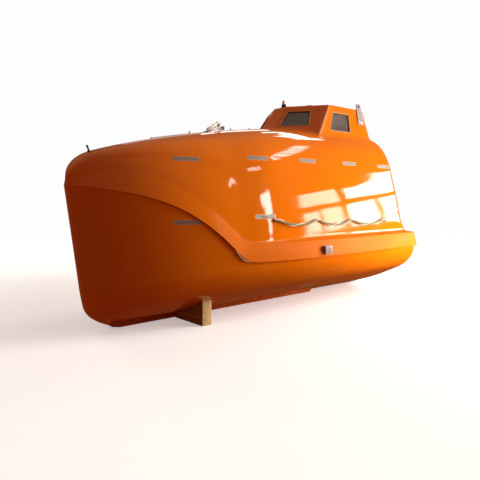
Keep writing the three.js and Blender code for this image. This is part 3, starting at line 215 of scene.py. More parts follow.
# Lifting, lashing and deck gear
LUG_EYE = {"aft": 1862, "z": 2222, "radius": 16}
LUG_FOOT = [(1670, 2132), (1930, 2168)]
AFT_PLATE_TOP = 13
AFT_PLATE_EYE = (400, 45)
LASHING = {"from": 2490, "to": 2610, "outboard": 1160, "low": 700, "high": 792}
BOW_POST = {"aft": 217, "top": 52, "lean": 22}
LIGHT_AFT = 3010
SPRAY = {"from": 1010, "to": 2560, "side": -120, "lift": 7, "radius": 7}
SPRAY_NOZZLES = (1520, 1840, 2160, 2480)
# Columns: aft, height of the studs on the canopy's sides
SIDE_STUDS = [(4245, 1130)]
STRAND_RUN = (1330, 1490)
STRAND_SAG = 16
SPARE_RADIUS = 6
SPARE_LAY = 330
SPARE_ENDS = 6
# Where the hull's bilge is rubbed pale: middle and half sizes, in metres
HULL_RUB = ((-0.314, 0.653, 0.254), (0.13, 0.3, 0.035))

# Inside
SEAT = {"aft": 3720, "top": 1480}
ENGINE_TOP_Z = 690
WHEEL = {"radius": 170}
WHEEL_SPOKES = (90, 210, 330)

# Camera worked out from the photograph: place in metres, direction, focal length in pixels of a 480 frame
PHOTO_PIXELS = 480
CAMERA_PLACE = (4.31, 4.72, 1.341)
CAMERA_LOOK = (-0.6534, -0.7570, 0.0)
FOCAL_PIXELS = 492
HORIZON_ROW = 197.3
SENSOR_MM = 36


def mix(start, end, share):
    return start + (end - start) * share


def clamp(value):
    return min(1.0, max(0.0, value))


def ease(value):
    return clamp(value) ** 2 * (3 - 2 * clamp(value))


def row_at(table, station):
    last = len(table) - 2
    if station >= table[-1][0]:
        return last
    return min(last, max(0, next(i for i, row in enumerate(table) if row[0] > station) - 1))


def curve_at(table, station):
    """A smooth curve through a table of (station, value) rows, with no overshoot."""
    last = len(table) - 2
    index = row_at(table, station)
    s0, v0 = table[index]
    s1, v1 = table[index + 1]
    chord = (v1 - v0) / (s1 - s0)

    def slope(left, right):
        return 0 if left * right <= 0 else 2 * left * right / (left + right)

    before = (v0 - table[index - 1][1]) / (s0 - table[index - 1][0]) if index > 0 else chord
    after = (table[index + 2][1] - v1) / (table[index + 2][0] - s1) if index < last else chord
    share = clamp((station - s0) / (s1 - s0))
    bend = slope(before, chord) * (1 - share) - slope(chord, after) * share
    return mix(v0, v1, share * share * (3 - 2 * share)) + (s1 - s0) * share * (1 - share) * bend


def line_at(table, station):
    """Straight lines through a table of (station, value) rows."""
    index = row_at(table, station)
    s0, v0 = table[index]
    s1, v1 = table[index + 1]
    return mix(v0, v1, (station - s0) / (s1 - s0))


def resampled(table, steps, scale):
    """A smooth curve through the (across, up) rows of a section, as evenly spaced points."""
    run = [0.0]
    for (a0, b0), (a1, b1) in zip(table, table[1:]):
        run.append(run[-1] + math.hypot((a1 - a0) * scale[0], (b1 - b0) * scale[1]))
    across = [(r, row[0]) for r, row in zip(run, table)]
    up = [(r, row[1]) for r, row in zip(run, table)]
    end = run[-2] if table[-1][0] < 0 else run[-1]
    return [(curve_at(across, end * i / steps), curve_at(up, end * i / steps)) for i in range(steps + 1)]


def plan_half(plan, aft, inset=0.0):
    share = clamp((aft - inset) / (plan["run"] - inset))
    return (plan["half"] - inset) * (1 - (1 - share) ** plan["power"]) ** (1 / plan["power"])


def joint_z(aft):
    return curve_at(JOINT_HEIGHTS, aft)


def ridge_z(aft):
    share = (1 - (1 - clamp(aft / NOSE_LENGTH)) ** 2.6) ** 0.5
    return mix(NOSE_TOP_Z, curve_at(RIDGE_HEIGHTS, aft), share)


def station_x(aft):
    return BOW_X - aft + NOSE_SWELL * clamp(1 - aft / NOSE_RUN) ** 2


def stem_aft(z):
    rake = STEM_RAKE * (STEM_TOP_Z - z) / (STEM_TOP_Z - FOREFOOT_Z)
    return rake + FOREFOOT_REACH * clamp(1 - z / FOREFOOT_Z) ** 2.2


def corner_inset(aft, end, radius):
    into = clamp((radius - (end - aft)) / radius)
    return radius * (1 - math.sqrt(max(0.0, 1 - into * into)))


HULL_CURVE = resampled(HULL_SECTION, 34, (1128, 644))
CANOPY_CURVE = resampled(CANOPY_SECTION, 46, (1018, 1400))
TOPSIDE_ROWS = 10


def hull_half(aft, inset):
    """Port half section of the hull, from the joint line down to the keel."""
    overhang = mix(BOW_OVERHANG, LIP_OVERHANG, clamp(aft / BELT_FADE[0]))
    corner = corner_inset(aft, HULL_END - inset, TRANSOM_CORNER_RADIUS)
    breadth = max(0.0, plan_half(JOINT_PLAN, aft, inset) - overhang - corner)
    joint_top = joint_z(max(0, aft - inset))
    keel_z = KEEL_LINE_Z + inset
    fullness = mix(0.55, 1, clamp(breadth / JOINT_PLAN["half"]))
    bilge = (BILGE_HEIGHT - inset) * fullness
    easing = (1 - clamp(aft / JOINT_PLAN["run"])) ** 3

    def place(y, z):
        return (station_x(aft) - (stem_aft(z) - stem_aft(joint_top)) * easing, y, z)

    section = [place(breadth * across, keel_z + bilge * up) for across, up in HULL_CURVE]
    for row in range(1, TOPSIDE_ROWS + 1):
        section.append(place(breadth, mix(keel_z + bilge, joint_top, row / TOPSIDE_ROWS)))
    return section[::-1]


def rounded_corner(before, corner, after, radius, steps):
    """Arc points that round one corner of a section, always the same number of them."""
    b, c, a = Vector(before), Vector(corner), Vector(after)
    into, out = (b - c), (a - c)
    reach = min(radius, 0.45 * into.length, 0.45 * out.length)
    start, end = c + into.normalized() * reach, c + out.normalized() * reach
    points = []
    for step in range(steps + 1):
        t = step / steps
        points.append(tuple(start * (1 - t) ** 2 + c * 2 * t * (1 - t) + end * t * t))
    return points


def canopy_half(aft, inset):
    """Port half section of the canopy, from the joint line over the belt and side to the ridge."""
    at_end = corner_inset(aft, CANOPY_END - inset, AFT_CORNER_RADIUS)
    joint_half = max(0.0, plan_half(JOINT_PLAN, aft, inset) - BELT_CORNER_SHARE * at_end)
    side_half = max(0.0, min(plan_half(CANOPY_PLAN, aft, inset), joint_half) - at_end)
    low = joint_z(max(0, aft - inset)) + SEAM
    top = ridge_z(max(0, aft - inset * 0.6)) - inset - at_end / AFT_CORNER_RADIUS * AFT_TOP_DROP
    belt_top = min(BELT_TOP, BELT_SHARE * (top - low))
    proud = ease((aft - BELT_FADE[0]) / (BELT_FADE[1] - BELT_FADE[0]))
    if inset == 0:
        proud = mix(BOW_CREASE * clamp(aft / BOW_CREASE_FROM), 1, proud)
    side = [(side_half * across, mix(low + belt_top, top, up)) for across, up in CANOPY_CURVE]
    belt = [(joint_half, low)]
    for up, back in BELT:
        share = up / BELT_TOP
        y = mix(mix(joint_half, side_half, share), joint_half - back, proud)
        belt.append((y, low + belt_top * share))
    if inset > 0:
        belt = [(mix(belt[0][0], side_half, clamp(proud * 9)), low), *[(side_half, z) for _, z in belt[1:]]]
    outline = [belt[0]]
    outline += rounded_corner(belt[0], belt[1], belt[2], 14, 3)
    outline += rounded_corner(belt[1], belt[2], side[0], 11, 4)
    outline += rounded_corner(belt[2], side[0], side[1], 20, 4)
    outline += side[1:]
    remap = clamp((aft - RAKE_START) / (CANOPY_END - inset - RAKE_START))
    placed = []
    for y, z in outline:
        raked = mix(RAKE_START, line_at(AFT_WALL, z) - inset, remap)
        placed.append((BOW_X - raked if aft > RAKE_START else station_x(aft), y, z))
    return placed


def shell_stations(end, radius):
    """Stations along the boat, close together at the bow, at the joint line's turn and at the aft corner."""
    bow = [JOINT_PLAN["run"] * (1 - math.cos(i / 56 * TAU / 4)) for i in range(57)]
    turn = [1230 + 25 * i for i in range(18)]
    run = [2650, 2800, 2950, 3100, 3200, 3400, 3600, 3800, 4000, 4200]
    corner = [end - radius * (1 - math.sin(i / 10 * TAU / 4)) for i in range(11)]
    stations = sorted([*bow, *turn, *run, *corner])
    kept = [stations[0]]
    for aft in stations[1:]:
        if aft - kept[-1] > 8 or aft > end - radius or aft < 30:
            kept.append(aft)
    return kept


@contextmanager
def editing(mesh):
    """A mesh opened as a bmesh, and written back at the end."""
    work = bmesh.new()
    work.from_mesh(mesh)
    yield work
    work.to_mesh(mesh)
    work.free()


def mesh_from(name, points, faces):
    """A mesh in metres from millimetre points, merged, without faces that have no area, facing outwards."""
    mesh = bpy.data.meshes.new(name)
    mesh.from_pydata([Vector(p) * MM for p in points], [], faces)
    with editing(mesh) as work:
        bmesh.ops.remove_doubles(work, verts=work.verts, dist=MERGE_DISTANCE)
        bmesh.ops.dissolve_degenerate(work, dist=1e-6, edges=work.edges)
        bmesh.ops.recalc_face_normals(work, faces=work.faces)
    return mesh


def strip_faces(rows, columns, closed=False):
    """Quads of a grid of points, row by row; closed joins the last column to the first."""
    faces = []
    for row in range(rows - 1):
        for column in range(columns if closed else columns - 1):
            a, b = row * columns + column, row * columns + (column + 1) % columns
            faces.append((a, b, b + columns, a + columns))
    return faces


def full_ring(half):
    """A whole section, from edge to edge, out of a port half that ends on the centre line."""
    return [*half, *[(x, -y, z) for x, y, z in half[-2::-1]]]


def shell_mesh(name, halves_out, halves_in):
    """A thick open shell from port half sections: both skins, their aft walls and the rim."""
    points, faces = [], []
    spans = []
    for halves in (halves_out, halves_in):
        base, count = len(points), 2 * len(halves[0]) - 1
        for half in halves:
            points.extend(full_ring(half))
        faces += [tuple(base + i for i in face) for face in strip_faces(len(halves), count)]
        last = base + (len(halves) - 1) * count
        for step in range(count // 2 - 1):
            far = count - 1 - step
            faces.append((last + step, last + step + 1, last + far - 1, last + far))
        faces.append(tuple(last + count // 2 + i for i in (-1, 0, 1)))
        spans.append((base, count))
    (out, count), (inner, _) = spans
    for row in range(len(halves_out) - 1):
        for side in (0, count - 1):
            a, b = out + row * count + side, out + (row + 1) * count + side
            faces.append((a, b, b - out + inner, a - out + inner))
    last = (len(halves_out) - 1) * count
    faces.append((out + last, out + last + count - 1, inner + last + count - 1, inner + last))
    return mesh_from(name, points, faces)


def add_object(name, data):
    piece = bpy.data.objects.new(name, data)
    bpy.context.scene.collection.objects.link(piece)
    return piece


def evaluated_mesh(piece):
    """The mesh that a piece's modifiers make of it."""
    bpy.context.view_layer.update()
    depsgraph = bpy.context.evaluated_depsgraph_get()
    return bpy.data.meshes.new_from_object(piece.evaluated_get(depsgraph), depsgraph=depsgraph)


def apply_modifiers(piece):
    """Bakes the modifiers of a piece into its mesh."""
    mesh = evaluated_mesh(piece)
    piece.modifiers.clear()
    piece.data = mesh
    return piece


def combine(piece, meshes, operation):
    """Adds closed meshes to a piece (UNION) or cuts them out of it (DIFFERENCE)."""
    tools = [add_object(f"tool_{i}", mesh) for i, mesh in enumerate(meshes)]
    for tool in tools:
        step = piece.modifiers.new("combine", "BOOLEAN")
        step.operation, step.solver, step.object = operation, "EXACT", tool
    apply_modifiers(piece)
    for tool in tools:
        bpy.data.objects.remove(tool)
    return piece


def settle(piece, body, finish, replaces=(), smooth=32):
    """Gives a finished piece its material, shading and body, and hides the imported nodes that it replaces."""
    material, slot = FINISHES[finish]
    piece.data.materials.clear()
    piece.data.materials.append(material)
    piece.data.polygons.foreach_set("material_index", [0] * len(piece.data.polygons))
    piece.data.shade_smooth()
    piece.data.set_sharp_from_angle(angle=math.radians(smooth))
    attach(piece, body)
    if replaces:
        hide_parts(*replaces)
    return piece


def face_axes(turn, tilt):
    """Across, up and out of a face that looks along an azimuth and leans back, in radians."""
    across = Vector((-math.sin(turn), math.cos(turn), 0))
    out = Vector((math.cos(turn) * math.cos(tilt), math.sin(turn) * math.cos(tilt), math.sin(tilt)))
    return across, out.cross(across), out


def face_frame(azimuth, lean, origin):
    """Frame of a flat face that leans back: across, up the face and outwards, in millimetres."""
    matrix = Matrix(face_axes(math.radians(azimuth), math.radians(lean))).transposed().to_4x4()
    matrix.translation = Vector(origin)
    return matrix


def tower_frame(index):
    azimuth, lean, reach = TOWER_FACES[index]
    turn = math.radians(azimuth)
    return face_frame(azimuth, lean, (TOWER_X + reach * math.cos(turn), reach * math.sin(turn), ROOF_Z))


DOOR_FRAME = face_frame(180, AFT_WALL_LEAN, (BOW_X - line_at(AFT_WALL, AFT_WALL_KNEE_Z), 0, AFT_WALL_KNEE_Z))
ROOF_FRAME = face_frame(180, 90, (HATCH_X, 0, ROOF_Z))
# Across to aft, up to starboard and out to the sky
HATCH_FRAME = Matrix(((-1, 0, 0, HATCH_X), (0, -1, 0, 0), (0, 0, 1, ROOF_Z), (0, 0, 0, 1)))
WHEEL_FRAME = face_frame(180, 30, (BOW_X - 3235, 0, 1900))


def rounded_outline(corners, radius, arc_steps=5, side_steps=1):
    """A closed outline with rounded corners and evenly parted sides."""
    count = len(corners)
    arcs = []
    for i, corner in enumerate(corners):
        before, after = Vector(corners[i - 1]), Vector(corners[(i + 1) % count])
        c = Vector(corner)
        into, out = (before - c).normalized(), (after - c).normalized()
        half = 0.5 * into.angle(out)
        reach = min(radius / math.tan(half), 0.48 * (before - c).length, 0.48 * (after - c).length)
        centre = c + (into + out).normalized() * (reach / math.cos(half))
        start, end = c + into * reach - centre, c + out * reach - centre
        first = math.atan2(start.y, start.x)
        sweep = (math.atan2(end.y, end.x) - first + math.pi) % TAU - math.pi
        turns = [first + sweep * k / arc_steps for k in range(arc_steps + 1)]
        arcs.append([centre + start.length * Vector((math.cos(turn), math.sin(turn))) for turn in turns])
    outline = []
    for arc, following in zip(arcs, arcs[1:] + arcs[:1]):
        outline.extend(arc)
        for step in range(1, side_steps):
            outline.append(arc[-1].lerp(following[0], step / side_steps))
    return [tuple(point) for point in outline]


def box_outline(left, right, low, high, radius, arc_steps=4, side_steps=1):
    corners = [(left, low), (right, low), (right, high), (left, high)]
    return rounded_outline(corners, radius, arc_steps, side_steps)


def loft_mesh(name, rings):
    """Closed mesh through rings of equally many points, with flat ends."""
    count = len(rings[0])
    points = [point for ring in rings for point in ring]
    faces = strip_faces(len(rings), count, closed=True)
    faces.append(tuple(range(count))[::-1])
    faces.append(tuple(range(len(points) - count, len(points))))
    return mesh_from(name, points, faces)


def in_frame(matrix, outline, out):
    return [matrix @ Vector((u, v, out)) for u, v in outline]


def slab_mesh(name, outline, near, far, matrix, edge=0.0):
    """Extruded outline in a frame, between two distances out of the face, with softened front edges."""
    if edge <= 0:
        return loft_mesh(name, [in_frame(matrix, outline, near), in_frame(matrix, outline, far)])
    rings = [in_frame(matrix, outline, near)]
    steps = 3
    for step in range(steps + 1):
        angle = step / steps * TAU / 4
        inset = edge * (1 - math.cos(angle))
        rings.append(in_frame(matrix, grown(outline, -inset), far - edge * (1 - math.sin(angle))))
    return loft_mesh(name, rings)


def grown(outline, by):
    """An outline moved outwards by a distance, corner by corner."""
    count = len(outline)
    area = sum(outline[i - 1][0] * outline[i][1] - outline[i][0] * outline[i - 1][1] for i in range(count))
    side = 1 if area > 0 else -1
    moved = []
    for i, point in enumerate(outline):
        back, ahead = Vector(outline[i - 1]), Vector(outline[(i + 1) % count])
        c = Vector(point)
        d0, d1 = (c - back), (ahead - c)
        d0 = d0.normalized() if d0.length > 1e-6 else d1.normalized()
        d1 = d1.normalized() if d1.length > 1e-6 else d0
        n0, n1 = Vector((d0.y, -d0.x)) * side, Vector((d1.y, -d1.x)) * side
        n = (n0 + n1).normalized()
        moved.append(tuple(c + n * (by / max(0.3, n.dot(n0)))))
    return moved


def mirrored(mesh):
    """A copy of a mesh on the other side of the centre line, facing outwards."""
    copy = mesh.copy()
    copy.transform(Matrix.Diagonal((1, -1, 1, 1)))
    copy.flip_normals()
    return copy


def joined(name, meshes):
    """One mesh from several."""
    work = bmesh.new()
    for mesh in meshes:
        work.from_mesh(mesh)
    whole = bpy.data.meshes.new(name)
    work.to_mesh(whole)
    work.free()
    return whole


def lathe_mesh(name, profile, sides, matrix):
    """Turned closed mesh from (radius, height) rows about a frame's third axis."""
    points, faces = [], []
    count = len(profile)
    for side in range(sides):
        angle = side / sides * TAU
        for radius, height in profile:
            points.append(matrix @ Vector((radius * math.cos(angle), radius * math.sin(angle), height)))
    for side in range(sides):
        for row in range(count - 1):
            a, b = side * count + row, (side + 1) % sides * count + row
            faces.append((a, b, b + 1, a + 1))
    return mesh_from(name, points, faces)


def tube_mesh(name, route, radius, sides=10):
    """A tube along a list of points, with flat ends."""
    path = [Vector(point) for point in route]
    rings = []
    normal = Vector((0, 0, 1))
    turns = [side / sides * TAU for side in range(sides)]
    for i, point in enumerate(path):
        along = (path[min(i + 1, len(path) - 1)] - path[max(i - 1, 0)]).normalized()
        slant = normal.dot(along)
        normal = (normal - along * slant).normalized() if abs(slant) < 0.99 else along.orthogonal()
        other = along.cross(normal)
        rings.append([point + radius * (normal * math.cos(turn) + other * math.sin(turn)) for turn in turns])
    return loft_mesh(name, rings)


def smooth_route(points, steps):
    """A smooth line through points, as many short ones."""
    first, second, *_ = points = [Vector(point) for point in points]
    ends = [2 * first - second, *points, 2 * points[-1] - points[-2]]
    route = []
    for p0, p1, p2, p3 in zip(ends, ends[1:], ends[2:], ends[3:]):
        for step in range(steps):
            t = step / steps
            route.append(0.5 * (2 * p1 + (p2 - p0) * t + (2 * p0 - 5 * p1 + 4 * p2 - p3) * t * t
                                + (3 * p1 - p0 - 3 * p2 + p3) * t ** 3))
    route.append(points[-1])
    return route


def dressed(node, finish, edge=1.5, smooth=35, segments=2):
    """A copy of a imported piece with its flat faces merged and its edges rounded, shown in its place."""
    source = NODES[node]
    mesh = source.data.copy()
    with editing(mesh) as work:
        bmesh.ops.remove_doubles(work, verts=work.verts, dist=MERGE_DISTANCE)
        bmesh.ops.dissolve_limit(work, angle_limit=0.01, verts=work.verts, edges=work.edges)
        bmesh.ops.recalc_face_normals(work, faces=work.faces)
    piece = add_object(f"{node}_dressed", mesh)
    if edge > 0:
        bevel = piece.modifiers.new("edge", "BEVEL")
        bevel.width, bevel.segments = edge * MM, segments
        bevel.limit_method, bevel.angle_limit = "ANGLE", math.radians(34)
        bevel.use_clamp_overlap = True
        apply_modifiers(piece)
    return settle(piece, source["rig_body"], finish, (node,), smooth)


def body_of(node):
    return NODES[node]["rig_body"]


def show(name, meshes, body, finish, replaces=(), smooth=32):
    """One finished piece from several meshes."""
    return settle(add_object(name, joined(name, meshes)), body, finish, replaces, smooth)


def rod_mesh(start, end, radius, sides=24, edge=1.2):
    """A rod between two points, with eased ends."""
    start, run = Vector(start), Vector(end) - Vector(start)
    matrix = run.to_track_quat("Z", "Y").to_matrix().to_4x4()
    matrix.translation = start
    length = run.length
    eased = [(0, 0), (radius - edge, 0), (radius - edge * 0.3, edge * 0.3), (radius, edge)]
    return lathe_mesh("rod", eased + [(r, length - h) for r, h in reversed(eased)], sides, matrix)


def softened(mesh, width, angle=30):
    """A mesh with its sharp edges rounded off."""
    with editing(mesh) as work:
        bmesh.ops.remove_doubles(work, verts=work.verts, dist=MERGE_DISTANCE)
        sharp = [edge for edge in work.edges
                 if edge.is_manifold and edge.calc_face_angle(0) > math.radians(angle)]
        bmesh.ops.bevel(work, geom=sharp, offset=width * MM, segments=2, profile=0.5, affect="EDGES",
                        clamp_overlap=True)
    return mesh


def circle_spots(radius, count, start=0.0):
    return [(radius * math.cos(start + i / count * TAU), radius * math.sin(start + i / count * TAU))
            for i in range(count)]


def across_frame(matrix, across, out):
    """A frame whose third axis runs along another frame's second one, at a place across and out."""
    return matrix @ Matrix(((1, 0, 0, across), (0, 0, 1, 0), (0, 1, 0, out), (0, 0, 0, 1)))


def aft_frame(x, y, z):
    """A frame that looks aft: across to starboard, up, and out behind the boat."""
    return face_frame(180, 0, (x, y, z))


def feed(tree, node, socket, value):
    """Sets a socket, or feeds it from another node."""
    if isinstance(value, bpy.types.NodeSocket):
        tree.links.new(value, node.inputs[socket])
    else:
        node.inputs[socket].default_value = value


def add_node(tree, kind, inputs=None, **settings):
    node = tree.nodes.new(kind)
    for key, value in settings.items():
        setattr(node, key, value)
    for socket, value in (inputs or {}).items():
        feed(tree, node, socket, value)
    return node


def calc(tree, operation, first, second):
    return add_node(tree, "ShaderNodeMath", {0: first, 1: second}, operation=operation).outputs[0]


class Finish:
    """One material on the Principled shader, with short calls for the nodes that feed it."""

    def __init__(self, name, **sockets):
        self.material = bpy.data.materials.new(name)
        self.material.use_nodes = True
        tree = self.material.node_tree
        self.node = functools.partial(add_node, tree)
        self.calc = functools.partial(calc, tree)
        self.put = functools.partial(feed, tree, tree.nodes["Principled BSDF"])
        for socket, value in sockets.items():
            self.put(socket.replace("_", " "), value)

    def coords(self, stretch=(1, 1, 1), move=(0, 0, 0)):
        place = self.node("ShaderNodeTexCoord").outputs["Object"]
        mapping = self.node("ShaderNodeMapping", {"Vector": place, "Scale": stretch, "Location": move})
        return mapping.outputs["Vector"]

    def noise(self, scale, detail=3.0, rough=0.5, stretch=(1, 1, 1), move=(0, 0, 0)):
        inputs = {"Vector": self.coords(stretch, move), "Scale": scale, "Detail": detail, "Roughness": rough}
        return self.node("ShaderNodeTexNoise", inputs).outputs["Fac"]

    def span(self, value, low, high, start=0.0, end=1.0):
        inputs = {"Value": value, "From Min": low, "From Max": high, "To Min": start, "To Max": end}
        return self.node("ShaderNodeMapRange", inputs, interpolation_type="SMOOTHSTEP").outputs["Result"]

    def blend(self, share, first, second):
        """Mixes two colours, given as (red, green, blue) or as sockets."""
        first, second = (c if isinstance(c, bpy.types.NodeSocket) else (*c[:3], 1) for c in (first, second))
        return self.node("ShaderNodeMix", {0: share, 6: first, 7: second}, data_type="RGBA").outputs[2]

    def axis(self, name):
        return self.node("ShaderNodeSeparateXYZ", {0: self.coords()}).outputs[name]

    def mark(self, name):
        """The value that mark() gave to the points of a mesh."""
        return self.node("ShaderNodeAttribute", attribute_name=name).outputs["Fac"]

    def cells(self, scale):
        inputs = {"Vector": self.coords(), "Scale": scale}
        return self.node("ShaderNodeTexVoronoi", inputs).outputs["Distance"]

    def bump(self, height, distance, strength=1.0, over=None):
        inputs = {"Height": height, "Distance": distance, "Strength": strength}
        if over is not None:
            inputs["Normal"] = over
        return self.node("ShaderNodeBump", inputs).outputs["Normal"]


def shade(colour, value):
    return tuple(part * value for part in colour[:3])


def gel_coat(name, colour, scuff, rubbed=None):
    """Glossy pigmented gel coat: slow fading, fabric waves in the gloss, rain streaks, dull scuffs and a
    painted highlight on points marked edge.
    """
    gel = Finish(name, IOR=1.52)
    tone = gel.blend(gel.span(gel.noise(0.9, 2), 0.35, 0.7), colour, shade(colour, 0.9))
    streak = gel.noise(7, 5, 0.6, stretch=(1, 1, 0.09))
    tone = gel.blend(gel.span(streak, 0.56, 0.78, 0, 0.16), tone, (0.42, 0.16, 0.05))
    grime = gel.span(gel.noise(38, 6, 0.7), 0.6, 0.75, 0, 0.12)
    tone = gel.blend(grime, tone, (0.3, 0.1, 0.03))
    rub = gel.noise(3.2, 8, 0.72, stretch=(0.5, 0.5, 2.2), move=(3, 1, 0))
    low = gel.span(gel.axis("Z"), 0.05, 0.75, 1.0, 0.0)
    worn = gel.calc("MULTIPLY", gel.span(rub, 0.55, 0.7, 0, scuff), low)
    tone = gel.blend(worn, tone, (0.62, 0.3, 0.11))
    # Painted highlight: points marked edge (the tower's side corners) are turned paler orange.
    tone = gel.blend(gel.mark("edge"), tone, (1.0, 0.7, 0.4))
    if rubbed:
        (x, y, z), (long, wide, high) = rubbed
        near = gel.coords((1 / long, 1 / wide, 1 / high), (-x / long, -y / wide, -z / high))
        away = gel.node("ShaderNodeVectorMath", {0: near}, operation="LENGTH").outputs["Value"]
        rough = gel.span(gel.noise(26, 5, 0.7, stretch=(0.4, 1, 1.6)), 0.3, 0.7, -0.45, 0.45)
        ragged = gel.span(gel.calc("ADD", away, rough), 0.75, 1.05, 0.75, 0)
        tone = gel.blend(ragged, tone, (0.72, 0.5, 0.3))
    gel.put("Base Color", tone)
    gloss = gel.span(gel.noise(2.3, 4), 0.3, 0.7, 0.025, 0.07)
    belt = gel.mark("belt")
    chalked = gel.span(gel.noise(5, 4, 0.6, stretch=(0.4, 1, 1)), 0.3, 0.7, 0.34, 0.46)
    dull = gel.calc("MULTIPLY", belt, chalked)
    gel.put("Roughness", gel.calc("ADD", gel.calc("ADD", gloss, dull), gel.calc("MULTIPLY", worn, 0.5)))
    gel.put("Specular IOR Level", gel.span(belt, 0, 1, 0.5, 0.12))
    waves = gel.bump(gel.noise(2.1, 1.5), 0.004, 0.35)
    print_through = gel.bump(gel.noise(14, 2.5, 0.6), 0.0004, 0.4, over=waves)
    gel.put("Normal", gel.bump(gel.noise(320, 1), 0.00004, 0.5, over=print_through))
    return gel.material


def patchy(name, colour, patch, patch_noise, spread, gloss, grain=None, **sockets):
    """A colour with patches of another one and a fine grain.

    The patches' noise is (scale, detail, roughness) and their spread (low, high, start, end); the gloss is
    (full patch, roughness without, roughness with) and the grain (noise, depth, strength).
    """
    coat = Finish(name, **sockets)
    dust = coat.span(coat.noise(*patch_noise), *spread)
    coat.put("Base Color", coat.blend(dust, colour, patch))
    coat.put("Roughness", coat.span(dust, 0, *gloss))
    if grain:
        coat.put("Normal", coat.bump(coat.noise(*grain[0]), *grain[1:]))
    return coat.material


def bare_steel(name, colour, rust, metal=0.85):
    """Dull stainless or zinc: fine scratches, water stains and specks of rust."""
    steel = Finish(name, Metallic=metal)
    stain = steel.span(steel.noise(24, 5, 0.6), 0.35, 0.65)
    tone = steel.blend(stain, shade(colour, 1.05), shade(colour, 0.7))
    specks = steel.span(steel.noise(95, 6, 0.7), 0.57, 0.68, 0, rust)
    tone = steel.blend(specks, tone, (0.2, 0.07, 0.025))
    steel.put("Base Color", tone)
    steel.put("Roughness", steel.span(steel.noise(60, 4, 0.6), 0.3, 0.7, 0.28, 0.5))
    steel.put("Normal", steel.bump(steel.noise(420, 3, 0.6, stretch=(1, 1, 6)), 0.0001, 0.4))
    return steel.material


def rusting_paint(name, colour):
    """Red-brown paint on steel, chipped to rust here and there."""
    paint = Finish(name)
    chips = paint.span(paint.noise(30, 8, 0.7), 0.56, 0.62)
    tone = paint.blend(paint.span(paint.noise(5, 3), 0.3, 0.7), shade(colour, 1.1), shade(colour, 0.75))
    paint.put("Base Color", paint.blend(chips, tone, (0.13, 0.045, 0.018)))
    paint.put("Roughness", paint.span(chips, 0, 1, 0.42, 0.85))
    paint.put("Normal", paint.bump(paint.calc("ADD", chips, paint.noise(150, 3)), 0.0004, 0.6))
    return paint.material


def dark_glass(name, colour):
    """Thick tinted pane with a breath of dust and dried drops."""
    glass = Finish(name, Transmission_Weight=0.6, IOR=2.4)
    dust = glass.span(glass.noise(5, 3, 0.5), 0.3, 0.72, 0.15, 0.9)
    runs = glass.span(glass.noise(30, 4, 0.6, stretch=(1, 1, 0.08)), 0.5, 0.75, 0, 0.4)
    haze = glass.calc("MAXIMUM", dust, runs)
    glass.put("Base Color", glass.blend(haze, colour, (0.16, 0.125, 0.115)))
    glass.put("Roughness", glass.span(haze, 0, 1, 0.02, 0.08))
    glass.put("Normal", glass.bump(glass.noise(60, 3), 0.0002, 0.3))
    return glass.material


def weathered_rope(name, colour):
    """Laid rope, green-grey with age, with paler chafed fibres."""
    rope = Finish(name, Roughness=0.9, Sheen_Weight=0.25)
    fibre = rope.noise(900, 3, 0.6, stretch=(0.25, 1, 1))
    tone = rope.blend(rope.span(fibre, 0.35, 0.65), shade(colour, 0.75), shade(colour, 1.35))
    pale = rope.span(rope.noise(14, 4), 0.52, 0.66, 0, 0.6)
    rope.put("Base Color", rope.blend(pale, tone, (0.62, 0.6, 0.52)))
    rope.put("Normal", rope.bump(fibre, 0.0006, 0.7))
    return rope.material


def sawn_timber(name, colour):
    """Rough sawn timber, its grain along the boat's breadth, stained, with ringed end grain at the ends whose
    pale beige is painted light: lit ends beside shaded sides.
    """
    wood = Finish(name, Roughness=0.85)
    grain = wood.noise(26, 6, 0.6, stretch=(1, 0.06, 1))
    tone = wood.blend(wood.span(grain, 0.35, 0.65), shade(colour, 1.15), shade(colour, 0.55))
    stain = wood.span(wood.noise(5, 5, 0.6), 0.5, 0.7, 0, 0.55)
    tone = wood.blend(stain, tone, (0.16, 0.12, 0.08))
    # Painted light: the end faces, 0.6 m out, are pale beige end grain, far paler than the sides, standing for
    # lit ends and shaded sides.
    out = wood.calc("ABSOLUTE", wood.axis("Y"), 0.0)
    rings = wood.span(wood.noise(60, 3, 0.5, stretch=(1, 1, 0.4)), 0.3, 0.7)
    lit_end_grain = wood.blend(rings, (0.78, 0.6, 0.3), (0.6, 0.43, 0.2))
    wood.put("Base Color", wood.blend(wood.span(out, 0.5995, 0.6012), tone, lit_end_grain))
    wood.put("Normal", wood.bump(grain, 0.0025, 0.6))
    return wood.material


def reflective_tape(name, colour):
    """Silver tape of small round cells, dusty, with a duller border band."""
    tape = Finish(name, Metallic=0.35)
    cells = tape.cells(260)
    tone = tape.blend(tape.span(cells, 0.1, 0.5), shade(colour, 1.2), shade(colour, 0.75))
    dust = tape.span(tape.noise(26, 5, 0.6), 0.42, 0.68, 0, 0.75)
    tone = tape.blend(dust, tone, (0.36, 0.25, 0.16))
    tape.put("Base Color", tape.blend(tape.mark("border"), tone, (0.8, 0.74, 0.66)))
    tape.put("Roughness", tape.span(dust, 0, 0.75, 0.32, 0.65))
    tape.put("Normal", tape.bump(cells, 0.0002, 0.5))
    return tape.material


def seat_vinyl(name, colour):
    """Black vinyl, faded here and there, with a leather grain."""
    vinyl = Finish(name, Sheen_Weight=0.1)
    grain = vinyl.cells(380)
    vinyl.put("Base Color", vinyl.blend(vinyl.span(vinyl.noise(7, 4), 0.3, 0.7), colour, shade(colour, 2.2)))
    vinyl.put("Roughness", vinyl.span(grain, 0, 0.6, 0.42, 0.6))
    vinyl.put("Normal", vinyl.bump(grain, 0.0003, 0.5))
    return vinyl.material


FINISHES = {}


